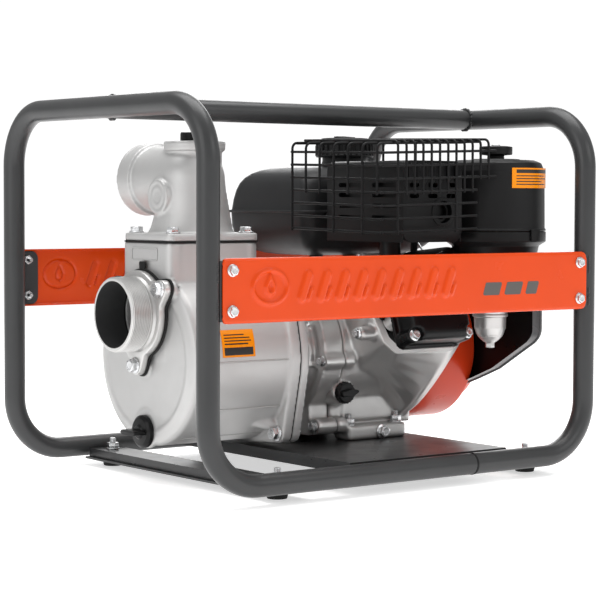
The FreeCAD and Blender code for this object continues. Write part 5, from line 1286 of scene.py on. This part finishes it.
# ---------------------------------------------------------------- tank, air cleaner, exhaust
def tank():
    """Two pressed shells with a seam flange, legs and the filler neck."""
    low, high = span("fuel_tank")
    seam_z = 317.0
    centre = Vector(((low.x + high.x) / 2 - 5, (low.y + high.y) / 2))
    wide, deep = high.x - low.x - 2, high.y - low.y - 12
    bottom, top = 261.0, 373.5

    def level(z, inset, corner):
        return [Vector((x, y, z)) for x, y in rectangle(wide - 2 * inset, deep - 2 * inset, corner, centre,
                                                        10)]
    shape = [(bottom, 60, 8), (bottom + 0.6, 44, 10), (bottom + 2.5, 32, 12), (bottom + 6, 22, 14),
             (bottom + 11, 14, 15),
             (bottom + 18, 7.5, 16), (bottom + 27, 3, 17), (bottom + 37, 0.8, 17), (seam_z - 3, 0, 17),
             (seam_z - 1.6, 0, 17), (seam_z - 1.6, -6, 17), (seam_z - 1.0, -6.6, 17),
             (seam_z + 1.0, -6.6, 17),
             (seam_z + 1.6, -6, 17), (seam_z + 1.6, 0, 17), (seam_z + 3, 0.6, 17), (332, 2.0, 17),
             (344, 4.2, 18),
             (353, 7.2, 19), (360, 11.5, 20), (365.5, 17.5, 21), (369.5, 25.5, 20), (372, 36, 17),
             (373.2, 52, 12),
             (top, 70, 8)]
    bm = bmesh.new()
    skin(bm, [level(*ring) for ring in shape])
    finished("pressed_tank", bm, "tank_paint", "fuel_tank", sharp=50)
    bm = bmesh.new()
    spot = (CAP.x, CAP.y, 0)
    lathe(bm, eased([(368, 22), (368, 40), (372, 37), (375, 31), (382, 29), (388, 29), (388, 22)], 1.6),
          spot, closed=True)
    for x, y in ((70, 60), (125, 60)):
        prism(bm, rectangle(14, 14, 3, (x + 7, y + 7)), 56, moved(0, 0, 217), 1)
    for x in (60, 215):
        for y in (3, 194):
            prism(bm, rectangle(26, 16, 5, (x, y)), 3, moved(0, 0, seam_z - 4.6), 0.6)
    finished("tank_neck_and_legs", bm, "tank_paint")
    bm = bmesh.new()
    for x in (60, 215):
        for y in (0.0, 197.0):
            hex_head(bm, (x, y, seam_z + 1.7), (0, 0, 1), 8, 5, 5.5)
    finished("tank_screws", bm, "zinc_steel")


def filler_cap():
    """Quarter-turn cap with a ribbed skirt and a raised grip."""
    low, high = span("fuel_cap")
    spot = (CAP.x, CAP.y, 0)
    bm = bmesh.new()
    shell = eased([(low.z, 29.2), (low.z, 37.5), (low.z + 3, 37.5), (low.z + 4, 36), (high.z - 8, 35.4),
                   (high.z - 2, 30), (high.z - 1.5, 0.1), (low.z + 8, 0.1), (low.z + 8, 29.2)], 2.2)
    lathe(bm, shell, spot, closed=True, steps=72)
    for i in range(28):
        turn = TURN * i / 28
        ring = [(reach, z) for reach, z in ((36.4, low.z + 2), (36.4, high.z - 13), (34.6, high.z - 6.5))]
        tube(bm, [(CAP.x + reach * math.cos(turn), CAP.y + reach * math.sin(turn), z) for reach, z in ring],
             1.9, 8)
    prism(bm, rectangle(52, 13, 6), 6, moved(CAP.x, CAP.y, high.z - 6) @ turned(0.5, "Z"), 2.4, 3)
    finished("fuel_cap_ribbed", bm, "black_plastic", "fuel_cap", body="fuel_cap_body")


def air_cleaner():
    """Round air cleaner: drawn cover, base with its seam and clips, and the wing nut."""
    low, high = span("air_cleaner_cover")
    spot = (CLEANER.x, CLEANER.y, 0)
    bm = bmesh.new()
    cover = eased([(low.z, 57), (low.z, 62.3), (low.z + 2.4, 62.3), (low.z + 3.4, 61), (high.z - 15, 60.2),
                   (high.z - 5, 56),
                   (high.z - 1.5, 47), (high.z - 1.5, 31), (high.z, 29), (high.z, 3.3), (high.z - 3, 3.3),
                   (high.z - 4.6, 44),
                   (high.z - 14, 56.5)], 3.0)
    lathe(bm, cover, spot, closed=True, steps=128)
    finished("drawn_cleaner_cover", bm, "black_plastic", "air_cleaner_cover")
    low, high = span("air_cleaner_base")
    bm = bmesh.new()
    base = eased([(255, 0), (255, 46), (262, 51), (276, 54), (280, 60), (281.5, 62.4), (293.8, 62.4),
                  (293.8, 60),
                  (285, 60), (284, 48), (259, 44), (259, 0)], 1.6)
    lathe(bm, base, spot, steps=128)
    threaded(bm, (CLEANER.x, CLEANER.y, 258), (0, 0, 1), 3, high.z - 258)
    for i in range(3):
        turn = TURN * i / 3 + 0.65
        place = Matrix.Translation(spot) @ turned(turn, "Z") @ moved(63.6, 0, 290)
        prism(bm, rectangle(3, 16, 1.2), 14, place @ moved(0, 0, -7), 0.5)
    finished("cleaner_base_moulded", bm, "black_plastic", "air_cleaner_base")
    low, high = span("air_cleaner_knob")
    bm = bmesh.new()
    knob = eased([(low.z, 3.1), (low.z, 11), (low.z + 4, 10), (low.z + 5, 20.5), (high.z - 2, 20.5),
                  (high.z - 1, 15),
                  (high.z - 1, 3.1)], 1.2)
    lathe(bm, knob, spot, closed=True)
    prism(bm, rectangle(38, 7, 3), 7.5, moved(CLEANER.x, CLEANER.y, low.z + 5) @ turned(0.35, "Z"), 1.5)
    finished("cleaner_knob_moulded", bm, "black_plastic", "air_cleaner_knob", body="cleaner_nut")
    bm = bmesh.new()
    lathe(bm, eased([(-3, 0), (-3, 5.5), (0.6, 5.5), (0.6, 0)], 0.5), (CLEANER.x, CLEANER.y, high.z),
          steps=28)
    finished("cleaner_stud_nut", bm, "zinc_steel", body="cleaner_nut")


def heat_shield():
    """Folded heat shield with flutes, level slots and the round exhaust outlet."""
    low, high = span("muffler_shield")
    deep = high.y - low.y
    turn = Matrix(((1, 0, 0, 0), (0, 0, 1, 0), (0, 1, 0, 0), (0, 0, 0, 1)))
    bm = bmesh.new()
    outline = [(low.x, low.z), (low.x, high.z), (high.x, high.z), (high.x, low.z)]
    path = eased(outline, 12, steps=6)
    inner = eased([(low.x + 1.6, low.z), (low.x + 1.6, high.z - 1.6), (high.x - 1.6, high.z - 1.6),
                   (high.x - 1.6, low.z)],
                  10.4, steps=6)
    loop = list(path) + list(reversed(inner))
    prism(bm, [(point.x, point.y) for point in loop], deep - 1.2, moved(0, low.y + 1.2, 0) @ turn)
    face = eased([(low.x, low.z), (low.x, high.z), (high.x, high.z), (high.x, low.z)], 12, closed=True,
                 steps=6)
    prism(bm, [(point.x, point.y) for point in face], 1.8, moved(0, low.y, 0) @ turn, 0.7)
    tools = bmesh.new()
    for column in range(3):
        for z in (350, 337):
            place = moved(low.x + 17 + 29 * column, low.y + 6, z)
            prism(tools, rectangle(15, 5.4, 2.6), 12, place @ QUARTER_X)
    for y in (low.y + 36, low.y + 100):
        for z in (350, 338, 325, 311):
            place = moved(low.x - 6, y, z)
            prism(tools, rectangle(5.4, 44, 2.6), 12, place @ QUARTER_Y)
    lathe(tools, [(0, 0), (0, 15.6), (14, 15.6), (14, 0)], (OUTLET_PIPE.x, low.y + 8, OUTLET_PIPE.z),
          (0, -1, 0), steps=40)
    carved("shield_sheet", bm, tools, "black_paint", "muffler_shield")
    bm = bmesh.new()
    for i in range(7):
        x = low.x + 10 + 12 * i
        tube(bm, [(x, low.y + 1.6, high.z - 26), (x, low.y - 0.6, high.z - 21),
                  (x, low.y - 0.6, high.z - 8),
                  (x, low.y + 1.6, high.z - 3)], 2.6, 10)
    ring = eased([(-3, 13.4), (-3, 16.6), (3, 17.6), (4, 17.6), (4, 13.4)], 0.8)
    lathe(bm, ring, (OUTLET_PIPE.x, low.y + 3, OUTLET_PIPE.z), (0, -1, 0), closed=True, steps=48)
    lathe(bm, [(-6, 9.2), (-6, 11.8), (10, 11.8), (10, 9.2)], (OUTLET_PIPE.x, low.y + 14, OUTLET_PIPE.z),
          (0, -1, 0),
          closed=True, steps=40)
    finished("shield_flutes_and_outlet", bm, "black_paint")


def wire_guard():
    """Cage of bent wire: level wires that turn the corner, and uprights that bend over the top."""
    low, high = span("muffler_guard")
    near, left, back = low.y + 1.6, low.x + 1.6, high.y - 1.6
    right, top = left + 147.5, 400.0
    wire = 1.55
    slope_start = 379
    rows = [294.0 + 15.4 * i for i in range(7)]
    bm = bmesh.new()
    for i, z in enumerate(rows):
        end = left + 178.0 if i > 3 else right
        tube(bm, eased([(left, back - 4, z), (left, near, z), (end, near, z)], 9, steps=6), wire, 10)
    for i in range(12):
        x = left + 23.5 + 12.9 * i
        foot = rows[0] - 3 if i in (0, 7) else rows[3] - 3
        foot = rows[4] - 3 if x > right else foot
        tube(bm, eased([(x, near - 0.6, foot), (x, near - 0.6, top), (x, back, top)], 7, steps=6), wire, 10)
    for i in range(7):
        y = near + 8 + 27 * i
        foot = rows[0] - 3 if i in (1, 3, 6) else rows[3] - 3
        tube(bm, eased([(left - 0.6, y, foot), (left - 0.6, y, top - 2.8), (right + 10, y, top - 2.8)], 7,
                       steps=6), wire, 10)
    for i in (4, 8):
        x = left + 23.5 + 12.9 * i
        tube(bm, [(x, (near + back) / 2, slope_start), (x, (near + back) / 2, top)], wire, 10)
    for vertex in bm.verts:
        inside = vertex.co.y > near + 20 and vertex.co.x > left + 5
        share = max(0.0, min(1.0, (vertex.co.z - slope_start) / 20)) if inside else 1.0
        vertex.co.z += share * (0.030 * (vertex.co.x - left) + 0.022 * (vertex.co.y - near))
    finished("guard_wires", bm, "black_paint", "muffler_guard", finish="wire_black")
    bm = bmesh.new()
    for z in rows:
        drop = bmesh.new()
        bmesh.ops.create_uvsphere(drop, u_segments=10, v_segments=8, radius=2.0)
        join(bm, drop, moved(left + 1.4, near + 1.4, z))
    finished("guard_weld_dots", bm, "black_paint", finish="wire_black")


def switch():
    """Rotary engine switch with a generic dial."""
    low = span("engine_switch")[0]
    bm = bmesh.new()
    lathe(bm, eased([(0, 0), (0, 11), (3.4, 11), (4.4, 9.6), (4.4, 0)], 0.7), (low.x, -122, 214), (1, 0, 0),
          steps=40)
    prism(bm, rectangle(20, 5.6, 2.2), 9, toward((1, 0, 0), (low.x + 3.6, -122, 214)), 1.2, 3)
    finished("switch_moulded", bm, "black_plastic", "engine_switch", body="ignition_switch",
             finish="switch_red")


DEEP_BLACKS = ("black_gloss", "black_paint", "wire_black", "black_plastic", "black_rubber", "tank_paint")
DEEP_BLACK_SPECULAR = 0.24
for deep_black in DEEP_BLACKS:
    shader = FINISHES[deep_black].node_tree.nodes["Principled BSDF"]
    shader.inputs["Specular IOR Level"].default_value = DEEP_BLACK_SPECULAR

PIECES = (frame_welds, rail_joints, lambda: pressed_panel("side_panel_near", -1),
          lambda: pressed_panel("side_panel_far", 1), panel_print, panel_screws, feet, mounting_hardware,
          casing,
          suction_port, pump_screws, outlet, pump_plugs, casing_label, cleaner_label, crankcase,
          engine_screws,
          valve_cover, oil_filler, shroud, carburetor, levers, bracket, intake_side, fan_parts,
          starter_handle, tank, filler_cap,
          air_cleaner, heat_shield, wire_guard, switch)


# ---------------------------------------------------------------- studio
def studio():
    """Pale floor, soft lights and a pale surround."""
    bm = bmesh.new()
    bmesh.ops.create_circle(bm, cap_ends=True, segments=96, radius=25)
    floor = loose("studio_floor", bm)
    floor.location.z = -0.0005
    finish = Finish("studio_floor", (0.86, 0.86, 0.86), 0.55)
    finish.rough(finish.grain(300, 2.0), 0.5, 0.6)
    finish.shader.inputs["Emission Color"].default_value = (1, 1, 1, 1)
    finish.shader.inputs["Emission Strength"].default_value = 0.58
    floor.data.materials.append(finish.material)

    world = bpy.data.worlds.new("studio")
    world.use_nodes = True
    bpy.context.scene.world = world
    tree = world.node_tree
    backdrop = tree.nodes["Background"]
    backdrop.inputs["Color"].default_value = (1, 1, 1, 1)
    backdrop.inputs["Strength"].default_value = 0.50
    bright = tree.nodes.new("ShaderNodeBackground")
    bright.inputs["Color"].default_value = (1, 1, 1, 1)
    bright.inputs["Strength"].default_value = 1.05
    seen = tree.nodes.new("ShaderNodeLightPath")
    choice = tree.nodes.new("ShaderNodeMixShader")
    tree.links.new(seen.outputs["Is Camera Ray"], choice.inputs["Fac"])
    tree.links.new(backdrop.outputs["Background"], choice.inputs[1])
    tree.links.new(bright.outputs["Background"], choice.inputs[2])
    tree.links.new(choice.outputs["Shader"], tree.nodes["World Output"].inputs["Surface"])

    lamps = (("overhead", (0.1, 0.2, 2.3), 2.4, 1.6, 44.0),
             ("left_card", (-2.2, -0.4, 1.1), 1.4, 1.6, 10.0),
             ("front_card", (0.9, -2.4, 1.5), 1.6, 1.2, 9.0),
             ("back_card", (1.6, 2.0, 1.2), 1.4, 1.2, 16.0))
    for name, place, width, height, power in lamps:
        light = bpy.data.lights.new(name, "AREA")
        light.shape = "RECTANGLE"
        light.size = width
        light.size_y = height
        light.energy = power
        lamp = placed(name, light)
        lamp.location = place
        lamp.rotation_euler = (Vector((0, 0, 0.2)) - Vector(place)).to_track_quat("-Z", "Y").to_euler()
    bpy.context.scene.view_settings.view_transform = "Standard"


def camera():
    """Long-lens camera, a little above the middle of the frame and looking slightly down."""
    yaw, pitch, roll = (math.radians(angle) for angle in (37.3346, 2.8976, 0.1825))
    ahead = Vector((math.sin(yaw) * math.cos(pitch), math.cos(yaw) * math.cos(pitch), -math.sin(pitch)))
    level_right = Vector((math.cos(yaw), -math.sin(yaw), 0))
    level_up = level_right.cross(ahead)
    right = level_right * math.cos(roll) + level_up * math.sin(roll)
    up = -level_right * math.sin(roll) + level_up * math.cos(roll)
    data = bpy.data.cameras.new("camera")
    data.lens = 119.52
    data.sensor_width = 36
    eye = placed("camera", data)
    turn = Matrix((right, up, -ahead)).transposed().to_4x4()
    eye.matrix_world = moved(-1.47908, -1.93947, 0.33268) @ turn
    bpy.context.scene.camera = eye


paint_cad_nodes()
for build in PIECES:
    build()
starter_rope_piece = starter_rope()
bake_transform(starter_rope_piece)
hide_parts("starter_rope")
studio()
camera()
